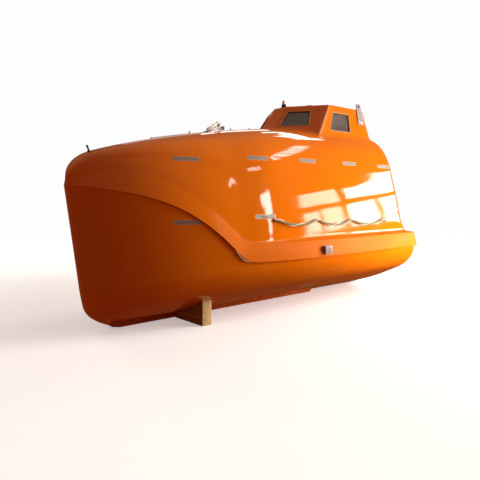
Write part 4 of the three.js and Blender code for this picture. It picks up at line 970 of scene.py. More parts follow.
def mix_finishes(colours):
    """Every finish by name, as (material, the record's slot)."""
    orange, steel = colours.orange, colours.steel
    bronze = patchy("cast_bronze", (0.5, 0.33, 0.14), (0.13, 0.2, 0.14), (18, 5, 0.6), (0.48, 0.66, 0, 0.6),
                    (0.6, 0.32, 0.62), ((140, 4), 0.0003, 0.5), Metallic=0.9)
    black = patchy("moulded_black", (0.02, 0.02, 0.022), (0.12, 0.115, 0.105), (12, 5), (0.5, 0.75, 0, 0.5),
                   (0.5, 0.45, 0.75), ((480, 4), 0.00015, 0.5))
    lamp = patchy("lamp_plastic", (0.95, 0.9, 0.9), (0.4, 0.33, 0.24), (30, 5), (0.5, 0.7, 0, 0.25),
                  (0.5, 0.15, 0.45), Coat_Weight=0.4, Subsurface_Weight=0.05)
    grey = patchy("grey_machine_paint", (0.3, 0.32, 0.33), (0.135, 0.144, 0.1485), (16, 6, 0.65),
                  (0.5, 0.7, 0, 0.5), (0.5, 0.38, 0.7), ((220, 3), 0.0002, 0.4))
    rubber = patchy("seal_rubber", (0.035, 0.033, 0.03), (0.4, 0.33, 0.27), (40, 5), (0.45, 0.7, 0, 0.7),
                    (0.7, 0.5, 0.85), ((300, 2), 0.0001, 0.4))
    FINISHES.update({
        "gel_coat": (gel_coat("orange_gel_coat", orange, 0.25), "orange_shell"),
        "hull_gel_coat": (gel_coat("orange_hull_coat", shade(orange, 0.95), 0.55, HULL_RUB), "orange_shell"),
        # Window lips: a paler orange coat, a painted highlight for the light on the lips' edges.
        "highlight_lip_coat": (gel_coat("lip_painted_highlight_coat", (1.0, 0.55, 0.26), 0.2), "orange_shell"),
        "steel": (bare_steel("dull_stainless", steel, 0.35), "stainless"),
        "galvanised": (bare_steel("galvanised", (0.66, 0.63, 0.6), 0.6), "stainless"),
        "glass": (dark_glass("tinted_glass", (0.07, 0.06, 0.058)), "window_glass"),
        "bronze": (bronze, "bronze"),
        "red_paint": (rusting_paint("rusting_red_paint", (0.27, 0.045, 0.02)), "painted_steel"),
        "rope": (weathered_rope("weathered_rope", colours.rope), "rope"),
        "frayed": (weathered_rope("frayed_rope", (0.85, 0.8, 0.7)), "rope"),
        "black": (black, "black_plastic"),
        "lamp": (lamp, "lamp_white"),
        "timber": (sawn_timber("sawn_timber", (0.34, 0.22, 0.11)), "timber"),
        # Keel skid: the orange darkened to about 0.4 and reddened, a painted shade for the dark underside; its
        # scuffs are real wear.
        "keel_coat": (gel_coat("keel_coat_painted_shade", (0.36, 0.055, 0.008), 0.4), "painted_steel"),
        "pale_steel": (bare_steel("pale_steel", (0.52, 0.47, 0.5), 0.25, 0.3), "stainless"),
        "dark_steel": (bare_steel("dark_steel", (0.07, 0.06, 0.056), 0.5, 0.3), "stainless"),
        "grey_paint": (grey, "grey_paint"),
        "tape": (reflective_tape("reflective_tape", colours.tape), "stainless"),
        "rubber": (rubber, "black_plastic"),
        "vinyl": (seat_vinyl("seat_vinyl", (0.03, 0.03, 0.033)), "black_plastic"),
    })
    for node in frame["record"]["subparts"]:
        finish = next(f for f in FINISHES.values() if f[1] == node["material_slot"])
        mesh = NODES[node["node"]].data
        mesh.materials.clear()
        mesh.materials.append(finish[0])


def sizes():
    return bpy.context.scene.lifeboat_sizes


def mark(mesh, name, value_at):
    """Gives each point of a mesh a value for its finish, worked out from its place in millimetres."""
    marks = mesh.attributes.new(name, "FLOAT", "POINT")
    for vertex, spot in zip(mesh.vertices, marks.data):
        spot.value = value_at(*(vertex.co / MM))


def shell_halves(half, end, radius, inset=0.0):
    """Port half sections of a shell all along the boat, drawn in by a wall."""
    return [half(mix(inset, end - inset, aft / end), inset) for aft in shell_stations(end, radius)]


# The two shells: half section, aft end, radius of the aft corner
HULL = (hull_half, HULL_END, TRANSOM_CORNER_RADIUS)
CANOPY = (canopy_half, CANOPY_END, AFT_CORNER_RADIUS)


def door_outline(by=0.0):
    half = DOOR["half"] + by
    return box_outline(-half, half, DOOR["low"] - by, DOOR["high"] + by, DOOR["radius"] + by, 8)


def tower_corners(inset, z):
    """Corners of the tower's six leaning faces at a height, drawn in by a wall."""
    lines = []
    for azimuth, lean, reach in TOWER_FACES:
        turn, tilt = math.radians(azimuth), math.radians(lean)
        distance = reach - inset / math.cos(tilt) + (ROOF_Z - z) * math.tan(tilt)
        lines.append((math.cos(turn), math.sin(turn), distance))
    corners = []
    for (a0, b0, d0), (a1, b1, d1) in zip(lines, lines[1:] + lines[:1]):
        area = a0 * b1 - a1 * b0
        corners.append((TOWER_X + (d0 * b1 - d1 * b0) / area, (a0 * d1 - a1 * d0) / area))
    return corners


def shell_piece(name, shell):
    wall = sizes().wall / MM
    return add_object(name, shell_mesh(name, shell_halves(*shell), shell_halves(*shell, wall)))


def build_hull():
    settle(shell_piece("hull_shell", HULL), ROOT_BODY, "hull_gel_coat", ("hull",))
    # The keel skid's dark coat is painted shade.
    dressed("keel_skid", "keel_coat", 3)


def belt_dullness(x, y, z):
    """How dull the gel coat is on the belt above the joint line."""
    aft = BOW_X - x
    low = 1 - ease((z - joint_z(max(0, aft)) - BELT_DULL[0]) / (BELT_DULL[1] - BELT_DULL[0]))
    return low * ease((aft - BELT_DULL_RUN[0]) / (BELT_DULL_RUN[1] - BELT_DULL_RUN[0]))


def corner_highlight(x, y, z):
    """How strongly the tower's two upright side corners get a painted highlight: paler gel coat where their
    rounding catches the light.
    """
    corners = tower_corners(0, z)
    away = min(math.hypot(x - corners[i][0], y - corners[i][1]) for i in (1, 4))
    return clamp(1.3 - away / 7.5) if z < ROOF_Z - 4 else 0


def build_canopy():
    piece = shell_piece("canopy_shell", CANOPY)
    inset, low, high = TOWER_WAY
    rings = [[(x, y, z) for x, y in tower_corners(inset, z)] for z in (low, high)]
    doorway = slab_mesh("doorway", door_outline(), *DOORWAY_CUT, DOOR_FRAME)
    combine(piece, [loft_mesh("way", rings), doorway], "DIFFERENCE")
    mark(piece.data, "belt", belt_dullness)
    settle(piece, ROOT_BODY, "gel_coat", ("canopy",))


class Skin:
    """The outer skin of a shell, to set other pieces down on it."""

    def __init__(self, halves):
        rings = [full_ring(half) for half in halves]
        points = [Vector(point) for ring in rings for point in ring]
        self.tree = BVHTree.FromPolygons(points, strip_faces(len(rings), len(rings[0])))

    def top(self, x, y):
        """Height of the skin above a place."""
        hit = self.tree.ray_cast(Vector((x, y, RAY_TOP)), Vector((0, 0, -1)))[0]
        return hit.z if hit else None

    def side(self, x, z, sign=1):
        """Point and outward normal of the skin seen from the port (1) or starboard (-1) side."""
        hit, normal, _, _ = self.tree.ray_cast(Vector((x, sign * RAY_SIDE, z)), Vector((0, -sign, 0)))
        return hit, (normal if normal.y * sign > 0 else -normal)


@functools.cache
def skin_of(*shell):
    return Skin(shell_halves(*shell))


def window_cutter(index, outline):
    edge = rounded_outline(outline, WINDOW_RADIUS, 4)
    return slab_mesh("window", edge, *WINDOW_CUT, tower_frame(index))


def build_tower():
    """The tower's shell in one with its foot, which sweeps out onto the canopy in a hollow curve."""
    skin = skin_of(*CANOPY)
    corner, sweep = sizes().tower_corner / MM, sizes().tower_sweep / MM
    wall, roof_edge, face_rows, foot_rows, low_z, inner_z = 35, 16, 6, 8, 1900, 2040

    def loop(inset, z, radius):
        return rounded_outline(tower_corners(inset, z), radius, 5, 14)

    top, low = loop(0, ROOF_Z, corner), loop(0, low_z, corner)
    count = len(top)

    def on_face(i, z):
        share = (ROOF_Z - z) / (ROOF_Z - low_z)
        return mix(top[i][0], low[i][0], share), mix(top[i][1], low[i][1], share), z

    feet = []
    for i in range(count):
        high, deep = ROOF_Z, float(low_z)
        for _ in range(24):
            z = (high + deep) / 2
            skin_z = skin.top(*on_face(i, z)[:2])
            high, deep = (high, z) if skin_z is not None and z <= skin_z else (z, deep)
        feet.append(z)
    rings = [[(mix(x, TOWER_X, inset / 500), mix(y, 0, inset / 500), ROOF_Z) for x, y in top]
             for inset in (roof_edge * 6, roof_edge * 3)]
    for step in range(5):
        angle = step / 4 * TAU / 4
        z = ROOF_Z - roof_edge * (1 - math.cos(angle))
        rings.append([(x, y, z) for x, y in loop(roof_edge * (1 - math.sin(angle)), z, corner)])
    for row in range(1, face_rows + 1):
        share = row / face_rows
        rings.append([on_face(i, mix(ROOF_Z - roof_edge, foot + sweep, share))
                      for i, foot in enumerate(feet)])
    start = [Vector(point) for point in rings[-1]]
    joints, ends = [Vector(on_face(i, feet[i])) for i in range(count)], []
    for i, joint in enumerate(joints):
        along = (Vector(top[(i + 1) % count]) - Vector(top[i - 1])).normalized()
        x, y = joint.x + along.y * sweep, joint.y - along.x * sweep
        skin_z = skin.top(x, y)
        ends.append(Vector((x, y, (skin_z if skin_z is not None else feet[i] - sweep) + 0.3)))
    for step in range(1, foot_rows + 1):
        t = step / foot_rows
        rings.append([a * (1 - t) ** 2 + b * 2 * t * (1 - t) + c * t * t
                      for a, b, c in zip(start, joints, ends)])
    rings.append([(x, y, min(inner_z, end.z - 60)) for (x, y), end in zip(loop(wall, inner_z, 10), ends)])
    rings.append([(x, y, ROOF_Z - wall) for x, y in loop(wall, ROOF_Z - wall, 10)])
    piece = add_object("tower_shell", loft_mesh("tower_shell", rings))
    outer = HATCH_HALF + 20
    coaming = box_outline(-outer, outer, -outer, outer, 12, 5)
    combine(piece, [slab_mesh("coaming", coaming, -8, 25, ROOF_FRAME, 4)], "UNION")
    diagonal, side = window_cutter(1, DIAGONAL_WINDOW), window_cutter(2, SIDE_WINDOW)
    way = box_outline(-HATCH_HALF, HATCH_HALF, -HATCH_HALF, HATCH_HALF, 8, 5)
    cutters = [diagonal, mirrored(diagonal), side, mirrored(side), window_cutter(3, AFT_WINDOW),
               slab_mesh("way", way, *HATCHWAY_CUT, ROOF_FRAME)]
    combine(piece, cutters, "DIFFERENCE")
    # The edge mark paints a highlight on the tower's two side corners as paler gel coat.
    mark(piece.data, "edge", corner_highlight)
    settle(piece, ROOT_BODY, "gel_coat", ("conning_tower",), 28)


def build_strips():
    """Reflective strips laid on the canopy's and the hull's sides."""
    meshes = [strip_mesh(skin_of(*shell), BOW_X - aft, z, sign)
              for table, shell in ((CANOPY_STRIPS, CANOPY), (HULL_STRIPS, HULL))
              for aft, z in table for sign in (1, -1)]
    show("reflective_strips", meshes, ROOT_BODY, "tape")


def strip_mesh(surface, x, z, sign):
    """One strip, bent onto a skin, with its border marked for the tape's finish."""
    half_long, half_high, proud = STRIP_LENGTH / 2, STRIP_WIDTH / 2, 0.7
    across_steps = [-1, -0.8, 0, 0.8, 1]
    along_steps = [-1, -0.97, *[i / 10 for i in range(-9, 10)], 0.97, 1]
    rows, columns = len(across_steps), len(along_steps)
    hit, normal = surface.side(x, z, sign)
    along = Vector((0, 0, 1)).cross(normal).normalized()
    across = normal.cross(along).normalized()
    front, back = [], []
    for share_up in across_steps:
        for share_along in along_steps:
            at = hit + along * half_long * share_along + across * half_high * share_up
            place, out, _, _ = surface.tree.ray_cast(at + normal * 200, -normal)
            if place is None:
                place, out, _, _ = surface.tree.find_nearest(at)
            out = out if out.dot(normal) > 0 else -out
            front.append(place + out * proud)
            back.append(place - out * 1.0)
    faces = strip_faces(rows, columns)
    count = rows * columns
    faces += [tuple(count + i for i in face[::-1]) for face in strip_faces(rows, columns)]
    border = [*range(columns), *[r * columns + columns - 1 for r in range(1, rows)],
              *range(count - 2, count - columns - 1, -1), *[r * columns for r in range(rows - 2, 0, -1)]]
    for a, b in zip(border, border[1:] + border[:1]):
        faces.append((b, a, a + count, b + count))
    mesh = mesh_from("strip", front + back, faces)
    marks = mesh.attributes.new("border", "FLOAT", "POINT")
    rim = {tuple(round(c, 2) for c in front[i]) for i in border}
    for vertex, spot in zip(mesh.vertices, marks.data):
        spot.value = float(tuple(round(c / MM, 2) for c in vertex.co) in rim)
    return mesh


def group_tree(name, inputs):
    """A Geometry Nodes tree with geometry in and out and number inputs, and its input node."""
    tree = bpy.data.node_groups.new(name, "GeometryNodeTree")
    for way in ("INPUT", "OUTPUT"):
        tree.interface.new_socket("Geometry", in_out=way, socket_type="NodeSocketGeometry")
    for label, value in inputs.items():
        socket = tree.interface.new_socket(label, in_out="INPUT", socket_type="NodeSocketFloat")
        socket.default_value = value
    return tree, add_node(tree, "NodeGroupInput").outputs


def finish_tree(tree, geometry, material):
    """Realizes what a tree makes, and gives it a material."""
    real = add_node(tree, "GeometryNodeRealizeInstances", {"Geometry": geometry})
    painted = add_node(tree, "GeometryNodeSetMaterial", {"Geometry": real.outputs[0], "Material": material})
    out = add_node(tree, "NodeGroupOutput")
    tree.links.new(painted.outputs[0], out.inputs[0])


def run_tree(piece, tree, values):
    """Runs a tree on an object with the given inputs, and keeps the result as a plain mesh."""
    modifier = piece.modifiers.new(tree.name, "NODES")
    modifier.node_group = tree
    for item in tree.interface.items_tree:
        if item.item_type == "SOCKET" and item.in_out == "INPUT" and item.name in values:
            modifier[item.identifier] = values[item.name]
    mesh, name = evaluated_mesh(piece), piece.name
    bpy.data.objects.remove(piece)
    return add_object(f"{name}_made", mesh)


def rope_tree():
    """Three laid strands along a curve."""
    tree, ins = group_tree("laid_rope", {"Strand radius": 0.0042, "Lay length": 0.06})
    path = add_node(tree, "GeometryNodeResampleCurve", {
        "Curve": ins["Geometry"], "Length": 0.006}, mode="LENGTH")
    along = add_node(tree, "GeometryNodeSplineParameter").outputs["Length"]
    angle = calc(tree, "MULTIPLY", calc(tree, "DIVIDE", along, ins["Lay length"]), TAU)
    twisted = add_node(tree, "GeometryNodeSetCurveTilt", {"Curve": path.outputs[0], "Tilt": angle})
    circle = add_node(tree, "GeometryNodeCurvePrimitiveCircle", {
        "Resolution": 8, "Radius": ins["Strand radius"]})
    strands = add_node(tree, "GeometryNodeJoinGeometry")
    reach = calc(tree, "MULTIPLY", ins["Strand radius"], 1.08)
    for strand in range(3):
        turn = strand / 3 * TAU
        x, y = (calc(tree, "MULTIPLY", reach, part) for part in (math.cos(turn), math.sin(turn)))
        place = add_node(tree, "ShaderNodeCombineXYZ", {0: x, 1: y}).outputs[0]
        moved = add_node(tree, "GeometryNodeTransform", {"Geometry": circle.outputs[0], "Translation": place})
        tree.links.new(moved.outputs[0], strands.inputs[0])
    rope = add_node(tree, "GeometryNodeCurveToMesh", {
        "Curve": twisted.outputs[0], "Profile Curve": strands.outputs[0], "Fill Caps": True})
    finish_tree(tree, rope.outputs[0], FINISHES["rope"][0])
    return tree


def fastener_tree(material):
    """A washer and a six-sided head on every point, facing along the point's "facing"."""
    tree, ins = group_tree("fasteners", {"Head radius": 0.008, "Head height": 0.005})
    radius, height = ins["Head radius"], ins["Head height"]
    washer = add_node(tree, "GeometryNodeMeshCylinder", {
        "Vertices": 16, "Radius": calc(tree, "MULTIPLY", radius, 1.55),
        "Depth": calc(tree, "MULTIPLY", height, 0.5)})
    head = add_node(tree, "GeometryNodeMeshCone", {
        "Vertices": 6, "Side Segments": 1, "Radius Top": radius, "Radius Bottom": radius, "Depth": height})
    both = add_node(tree, "GeometryNodeJoinGeometry")
    for part in (washer, head):
        tree.links.new(part.outputs["Mesh"], both.inputs[0])
    facing = add_node(tree, "GeometryNodeInputNamedAttribute", {"Name": "facing"}, data_type="FLOAT_VECTOR")
    turned = add_node(tree, "FunctionNodeAlignRotationToVector", {"Vector": facing.outputs[0]}, axis="Z")
    placed = add_node(tree, "GeometryNodeInstanceOnPoints", {
        "Points": ins["Geometry"], "Instance": both.outputs[0], "Rotation": turned.outputs[0]})
    finish_tree(tree, placed.outputs[0], material)
    return tree


def add_fasteners(name, places, body, finish, radius, height):
    """Fasteners at (point, outward direction) places in millimetres."""
    mesh = bpy.data.meshes.new(name)
    mesh.from_pydata([Vector(point) * MM for point, _ in places], [], [])
    facing = mesh.attributes.new("facing", "FLOAT_VECTOR", "POINT")
    facing.data.foreach_set("vector", [c for _, out in places for c in Vector(out).normalized()])
    material = FINISHES[finish][0]
    piece = run_tree(add_object(name, mesh), fastener_tree(material), {
        "Head radius": radius * MM, "Head height": height * MM})
    return settle(piece, body, finish, (), 30)


def frame_places(matrix, spots, out=0.0):
    """Fastener places on a frame's face."""
    facing = matrix.to_3x3() @ Vector((0, 0, 1))
    return [(matrix @ Vector((u, v, out)), facing) for u, v in spots]


def along_outline(outline, spacing):
    """Evenly spaced spots round an outline."""
    spots = []
    for (u0, v0), (u1, v1) in zip(outline, outline[1:] + outline[:1]):
        count = max(1, round(math.hypot(u1 - u0, v1 - v0) / spacing))
        spots += [(mix(u0, u1, (i + 0.5) / count), mix(v0, v1, (i + 0.5) / count)) for i in range(count)]
    return spots


def mirror_places(places):
    return [(Vector((p.x, -p.y, p.z)), Vector((n.x, -n.y, n.z))) for p, n in places]


def ring_mesh(name, inner, outer, near, far, matrix):
    """A flat frame between two outlines, standing out of a face."""
    rings = [in_frame(matrix, outer, near), in_frame(matrix, outer, far - 1.5),
             in_frame(matrix, grown(outer, -1.5), far), in_frame(matrix, grown(inner, 1.5), far),
             in_frame(matrix, inner, far - 1.5), in_frame(matrix, inner, near)]
    count = len(outer)
    points = [p for ring in rings for p in ring]
    return mesh_from(name, points, strip_faces(len(rings), count, closed=True) + [
        (5 * count + i, 5 * count + (i + 1) % count, (i + 1) % count, i) for i in range(count)])


def build_windows():
    """Seals inside each window's opening, a raised lip round it in a paler coat that paints a highlight on it,
    and small pale screws.
    """
    seals, lips, screws = [], [], []
    for index, outline, twin in ((1, DIAGONAL_WINDOW, True), (2, SIDE_WINDOW, True), (3, AFT_WINDOW, False)):
        matrix = tower_frame(index)
        edge = rounded_outline(outline, WINDOW_RADIUS, 4)
        for meshes, inner, outer, near, far in ((seals, -11, -0.3, -11.5, -4), (lips, 0.6, 8, -2, 3.5)):
            ring = ring_mesh("ring", grown(edge, inner), grown(edge, outer), near, far, matrix)
            meshes += [ring, mirrored(ring)] if twin else [ring]
        places = frame_places(matrix, along_outline(grown(outline, 24), 98), 0.5)
        screws += places + (mirror_places(places) if twin else [])
    show("window_seals", seals, ROOT_BODY, "rubber")
    # The lips' paler coat is a painted highlight.
    show("window_lips", lips, ROOT_BODY, "highlight_lip_coat")
    add_fasteners("window_screws", screws, ROOT_BODY, "galvanised", 2.6, 1.6)


def build_grab_lines():
    """A laid rope in bights between its fixings on each side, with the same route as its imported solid."""
    tree, skin = rope_tree(), skin_of(*CANOPY)
    first, last = GRAB_FIXINGS[0], GRAB_FIXINGS[-1]
    spots = [(first[0] + GRAB_TAILS[0][0], first[1] + GRAB_TAILS[0][1])]
    for (aft, z), (next_aft, next_z) in zip(GRAB_FIXINGS, GRAB_FIXINGS[1:]):
        for share in (0, 0.25, 0.5, 0.75):
            sag = GRAB_SAG * 4 * share * (1 - share)
            spots.append((mix(aft, next_aft, share), mix(z, next_z, share) - sag))
    spots += [last, (last[0] + GRAB_TAILS[1][0], last[1] + GRAB_TAILS[1][1])]
    for side, sign in (("port", 1), ("starboard", -1)):
        route = [Vector((BOW_X - aft, sign * (skin.side(BOW_X - aft, z)[0].y + GRAB_LIFT), z))
                 for aft, z in spots]
        curve = bpy.data.curves.new("route", "CURVE")
        curve.dimensions = "3D"
        spline = curve.splines.new("POLY")
        line = smooth_route(route, 10)
        spline.points.add(len(line) - 1)
        for point, target in zip(line, spline.points):
            target.co = (*(point * MM), 1)
        rope = run_tree(add_object(f"grab_rope_{side}", curve), tree, {
            "Strand radius": sizes().strand_radius, "Lay length": sizes().lay_length})
        settle(rope, ROOT_BODY, "rope", (f"grab_line_{side}",), 60)
        wound, walked = [], 0
        for point, before in zip(line[SPARE_ENDS:-SPARE_ENDS], line[SPARE_ENDS - 1:]):
            walked += (point - before).length
            turn = walked / SPARE_LAY * TAU
            wound.append(point + Vector((0, sign * (7 + 7 * math.cos(turn)), 16 * math.sin(turn))))
        show(f"grab_spare_line_{side}", [tube_mesh("spare", wound, SPARE_RADIUS, 8)], ROOT_BODY, "frayed")
        eyes = []
        for aft, z in GRAB_FIXINGS:
            hit, normal = skin.side(BOW_X - aft, z)
            flip = Vector((1, sign, 1))
            eyes += fixing_meshes(hit * flip, normal * flip, sign)
        show(f"grab_fixings_{side}", eyes, ROOT_BODY, "dark_steel")
        ends = [line[:FERRULE_POINTS], line[-FERRULE_POINTS:]]
        ferrules = [tube_mesh("ferrule", end, FERRULE_RADIUS, 16) for end in ends]
        show(f"grab_ferrules_{side}", ferrules, ROOT_BODY, "galvanised")
        hooks = []
        for end, tail in ((line[0], HOOK_EYE), (line[-1], -HOOK_EYE)):
            turns = [step / 8 * math.pi for step in range(9)]
            loop = [end + Vector((tail * math.sin(turn), 0, HOOK_EYE * (math.cos(turn) - 1)))
                    for turn in turns]
            hooks.append(tube_mesh("hook", loop, 4, 10))
        show(f"grab_hooks_{side}", hooks, ROOT_BODY, "dark_steel")


def fixing_meshes(spot, normal, sign):
    """A riveted plate and the half ring that holds the rope to it."""
    along = Vector((1, 0, 0))
    up = normal.cross(along).normalized() * sign
    matrix = Matrix((along * sign, up, normal)).transposed().to_4x4()
    matrix.translation = spot
    plate = slab_mesh("plate", box_outline(-26, 26, -15, 15, 6, 5), -4, 3, matrix, 1)
    turns = [step / 8 * math.pi for step in range(9)]
    loop = [matrix @ Vector((0, 15 * math.cos(turn), 2 + 20 * math.sin(turn))) for turn in turns]
    rivet = [(0, 2), (4, 2), (3.4, 4.2), (0, 5)]
    rivets = [lathe_mesh("rivet", rivet, 10, matrix @ Matrix.Translation((u, 0, 0))) for u in (-19, 19)]
    return [plate, tube_mesh("loop", loop, 3, 8), *rivets]


def hinge_leaf(matrix, across, places):
    """The fixed leaf: a strip with half-round lugs and the pins through them."""
    near = HINGE["half"] + HINGE["play"]
    reach = near + HINGE["lug"]
    rise, lug = HINGE["rise"], HINGE["lug_half"]
    left, right = (across + side for side in HINGE["strip"])
    outline = box_outline(left, right, min(places) - reach, max(places) + reach, 4)
    meshes = [slab_mesh("strip", outline, SEAM, HINGE["strip_top"], matrix, 1)]
    side = across_frame(matrix, across, 0)
    arch = [(-lug, 2), (lug, 2), *[(lug * math.cos(a / 12 * math.pi), rise + lug * math.sin(a / 12 * math.pi))
                                   for a in range(13)]]
    for place in places:
        for sign in (-1, 1):
            ends = sorted((place + sign * near, place + sign * reach))
            meshes.append(softened(slab_mesh("lug", arch, *ends, side), 1.2))
        meshes.append(rod_mesh(matrix @ Vector((across, place - reach - 3, rise)),
                               matrix @ Vector((across, place + reach + 3, rise)), HINGE["pin"], 16))
    return meshes


def hinge_straps(matrix, across, places, start):
    """The moving leaf: a strap and a bored knuckle at each place."""
    meshes = []
    half, knuckle, bore = HINGE["half"], HINGE["knuckle"], HINGE["pin"] + HINGE["play"]
    barrel = across_frame(matrix, across, HINGE["rise"])
    for place in places:
        outline = box_outline(min(start, across), max(start, across), place - half, place + half, 3)
        meshes.append(slab_mesh("strap", outline, *HINGE["strap"], matrix, 1.2))
        ring = [(bore, -half), (knuckle - 1, -half), (knuckle, 1 - half), (knuckle, half - 1),
                (knuckle - 1, half), (bore, half), (bore, -half)]
        meshes.append(lathe_mesh("knuckle", [(r, place + h) for r, h in ring], 24, barrel))
    return meshes


def panel_mesh(name, outline, middle, rows, matrix):
    """A lid or door through rows of (inset, out); a negative inset is the share drawn in to the middle."""
    rings = []
    for inset, out in rows:
        spots = grown(outline, -inset)
        if inset < 0:
            spots = [(mix(u, middle[0], -inset), mix(v, middle[1], -inset)) for u, v in outline]
        rings.append(in_frame(matrix, spots, out))
    return loft_mesh(name, rings)


def build_roof_hatch():
    """The lid with its rolled rim and raised field, the gasket under it and its inner handle."""
    body = body_of("roof_hatch")
    back, front = LID["back"], LID["front"]
    outline = box_outline(back, front, back, -back, LID["radius"], 6, 3)
    rows = [(-0.5, 30), (20, 30), (16.5, 27), (16, 8), (14.5, 5.5), (12, 5), (3, 5), (0.8, 5.6), (0, 8),
            (0, 37), (0.8, 41.5), (3, 45), (7, 47.2), (13, 48), (20, 48.2), (23, 50.6), (26, 51.6),
            (-0.2, 52.4), (-0.5, 53.6), (-0.8, 54.2)]
    lid = panel_mesh("lid", outline, ((back + front) / 2, 0), rows, HATCH_FRAME)
    show("roof_hatch_lid", [lid], body, "gel_coat", ("roof_hatch",), 40)
    steel = hinge_straps(HATCH_FRAME, HATCH_HINGE_U, HATCH_HINGE_PLACES, front - 4)
    side = across_frame(HATCH_FRAME @ Matrix.Rotation(math.pi / 2, 4, "Z"), 0, 0)
    bolts = []
    for place in HATCH_HINGE_PLACES:
        outline = box_outline(place - 26, place + 26, 9, 38, 5)
        steel.append(slab_mesh("pad", outline, -front - 3.5, -front + 1, side))
        bolts += [(HATCH_FRAME @ Vector((front + 3.5, place + v, 24)), (-1, 0, 0)) for v in (-16, 16)]
    grip = [(-60, 0, 31), (-60, 0, -12), (-48, 0, -26), (48, 0, -26), (60, 0, -12), (60, 0, 31)]
    steel.append(tube_mesh("grip", smooth_route([HATCH_FRAME @ Vector(p) for p in grip], 5), 7, 14))
    show("roof_hatch_straps", steel, body, "steel")
    add_fasteners("roof_hatch_bolts", bolts, body, "steel", 4.5, 3.5)
    inner, outer = box_outline(-204, 206, -204, 204, 10, 5), box_outline(-219, 221, -219, 219, 12, 5)
    gasket = ring_mesh("gasket", inner, outer, 25.6, 30.2, HATCH_FRAME)
    show("roof_hatch_gasket", [gasket], body, "rubber")


def build_stern_door():
    """The door with its rolled edge and raised panel, and the jamb and bead that it closes on."""
    body = body_of("stern_door")
    outline = door_outline(-DOOR["clear"])
    middle = (DOOR["low"] + DOOR["high"]) / 2
    rows = [(-0.6, -36), (44, -36), (38, -44), (30, -45), (3, -45), (0.9, -44.1), (0, -42), (0, -5),
            (1.2, -1.8), (3.5, -0.4), (8, 0), (-0.4, 0)]
    door = panel_mesh("door", outline, (0, middle), rows, DOOR_FRAME)
    field = slab_mesh("field", box_outline(-160, 120, 130, 790, 40, 6, 3), -4, 7, DOOR_FRAME, 6)
    show("stern_door_panel", [door, field], body, "gel_coat", ("stern_door",), 40)
    straps = hinge_straps(DOOR_FRAME, DOOR_HINGE_U, DOOR_HINGE_PLACES, DOOR["strap_from"])
    spots = []
    for place in DOOR_HINGE_PLACES:
        foot = box_outline(DOOR["strap_from"], DOOR_HINGE_U - DOOR["foot"], place - 20, place + 20, 5)
        straps.append(slab_mesh("foot", foot, -2, 8, DOOR_FRAME))
        spots += [(u, place + v) for u in (166, 196, 226) for v in (-9, 9)]
    latch = box_outline(-215, -185, middle - 60, middle + 60, 6)
    straps.append(slab_mesh("latch", latch, -58, -44, DOOR_FRAME))
    for start, end, radius in (((-200, middle, -56), (-200, middle, -76), 12),
                               ((-206, middle, -74), (-90, middle, -74), 9)):
        straps.append(rod_mesh(DOOR_FRAME @ Vector(start), DOOR_FRAME @ Vector(end), radius))
    show("stern_door_straps", straps, body, "steel")
    places = frame_places(DOOR_FRAME, spots, HINGE["strap"][1] + 1)
    add_fasteners("stern_door_bolts", places, body, "steel", 4.5, 3)
    jamb = ring_mesh("jamb", door_outline(-38), door_outline(3), -95, -51, DOOR_FRAME)
    show("stern_door_jamb", [jamb], ROOT_BODY, "gel_coat")
    bead = ring_mesh("bead", door_outline(-30), door_outline(-12), -52, -47, DOOR_FRAME)
    show("stern_door_bead", [bead], ROOT_BODY, "rubber")


def build_door_handle():
    """Escutcheon, boss and lever of the door."""
    body = body_of("stern_door_handle")
    middle = (DOOR["low"] + DOOR["high"]) / 2
    plate = slab_mesh("plate", box_outline(-250, -190, middle - 45, middle + 45, 10), 0.4, 8, DOOR_FRAME, 2)
    centre = DOOR_FRAME @ Matrix.Translation((-219, middle, 0))
    boss = lathe_mesh("boss", [(0, 6), (22, 6), (22, 12), (17, 16), (17, 40), (15, 44), (0, 46)], 28, centre)
    lever = box_outline(-232, -90, middle - 12, middle + 12, 11.5, 6, 3)
    lever = slab_mesh("lever", lever, 32, 46, DOOR_FRAME, 5)
    show("stern_door_lever", [plate, boss, softened(lever, 2)], body, "steel", ("stern_door_handle",))
    spots = [(u, middle + v) for u in (-242, -198) for v in (-36, 36)]
    add_fasteners("stern_door_handle_bolts", frame_places(DOOR_FRAME, spots, 9), body, "steel", 3.5, 2.5)


def build_hinges():
    """The fixed leaves of the hatch's and the door's hinges, with their screws."""
    for node, matrix, across, places, spots in (
            ("roof_hatch_hinge", HATCH_FRAME, HATCH_HINGE_U, HATCH_HINGE_PLACES, (-90, -45, 0, 45, 90)),
            ("stern_door_hinge", DOOR_FRAME, DOOR_HINGE_U, DOOR_HINGE_PLACES, (320, 390, 460, 530, 600))):
        body = body_of(node)
        show(f"{node}_leaf", hinge_leaf(matrix, across, places), body, "steel", (node,))
        screws = frame_places(matrix, [(across + 2, v) for v in spots], HINGE["strip_top"])
        add_fasteners(f"{node}_screws", screws, body, "steel", 4, 2)


def build_grab_rail():
    """Upright rail beside the stern door, on two round pads."""
    body = body_of("stern_grab_rail")
    across, low, high, out = (RAIL[key] for key in ("across", "low", "high", "out"))
    line = []
    for places in (((low, -4), (low, 36), (low + 8, 53), (low + 30, out)),
                   ((high - 30, out), (high - 8, 53), (high, 36), (high, -4))):
        line += smooth_route([DOOR_FRAME @ Vector((across, *place)) for place in places], 6)
    meshes = [tube_mesh("rail", line, RAIL["radius"], 20)]
    bolts = []
    for v in (RAIL["low"], RAIL["high"]):
        place = DOOR_FRAME @ Matrix.Translation((across, v, 0))
        pad = [(0, -6), (RAIL["pad"], -6), (RAIL["pad"], 4), (RAIL["pad"] - 2, 6), (18, 6), (14, 10), (0, 10)]
        meshes.append(lathe_mesh("pad", pad, 32, place))
        bolts += frame_places(place, circle_spots(22, 3, 0.5), 6)
    show("stern_grab_rail_bar", meshes, body, "steel", ("stern_grab_rail",))
    add_fasteners("stern_grab_rail_screws", bolts, body, "steel", 2.6, 2)


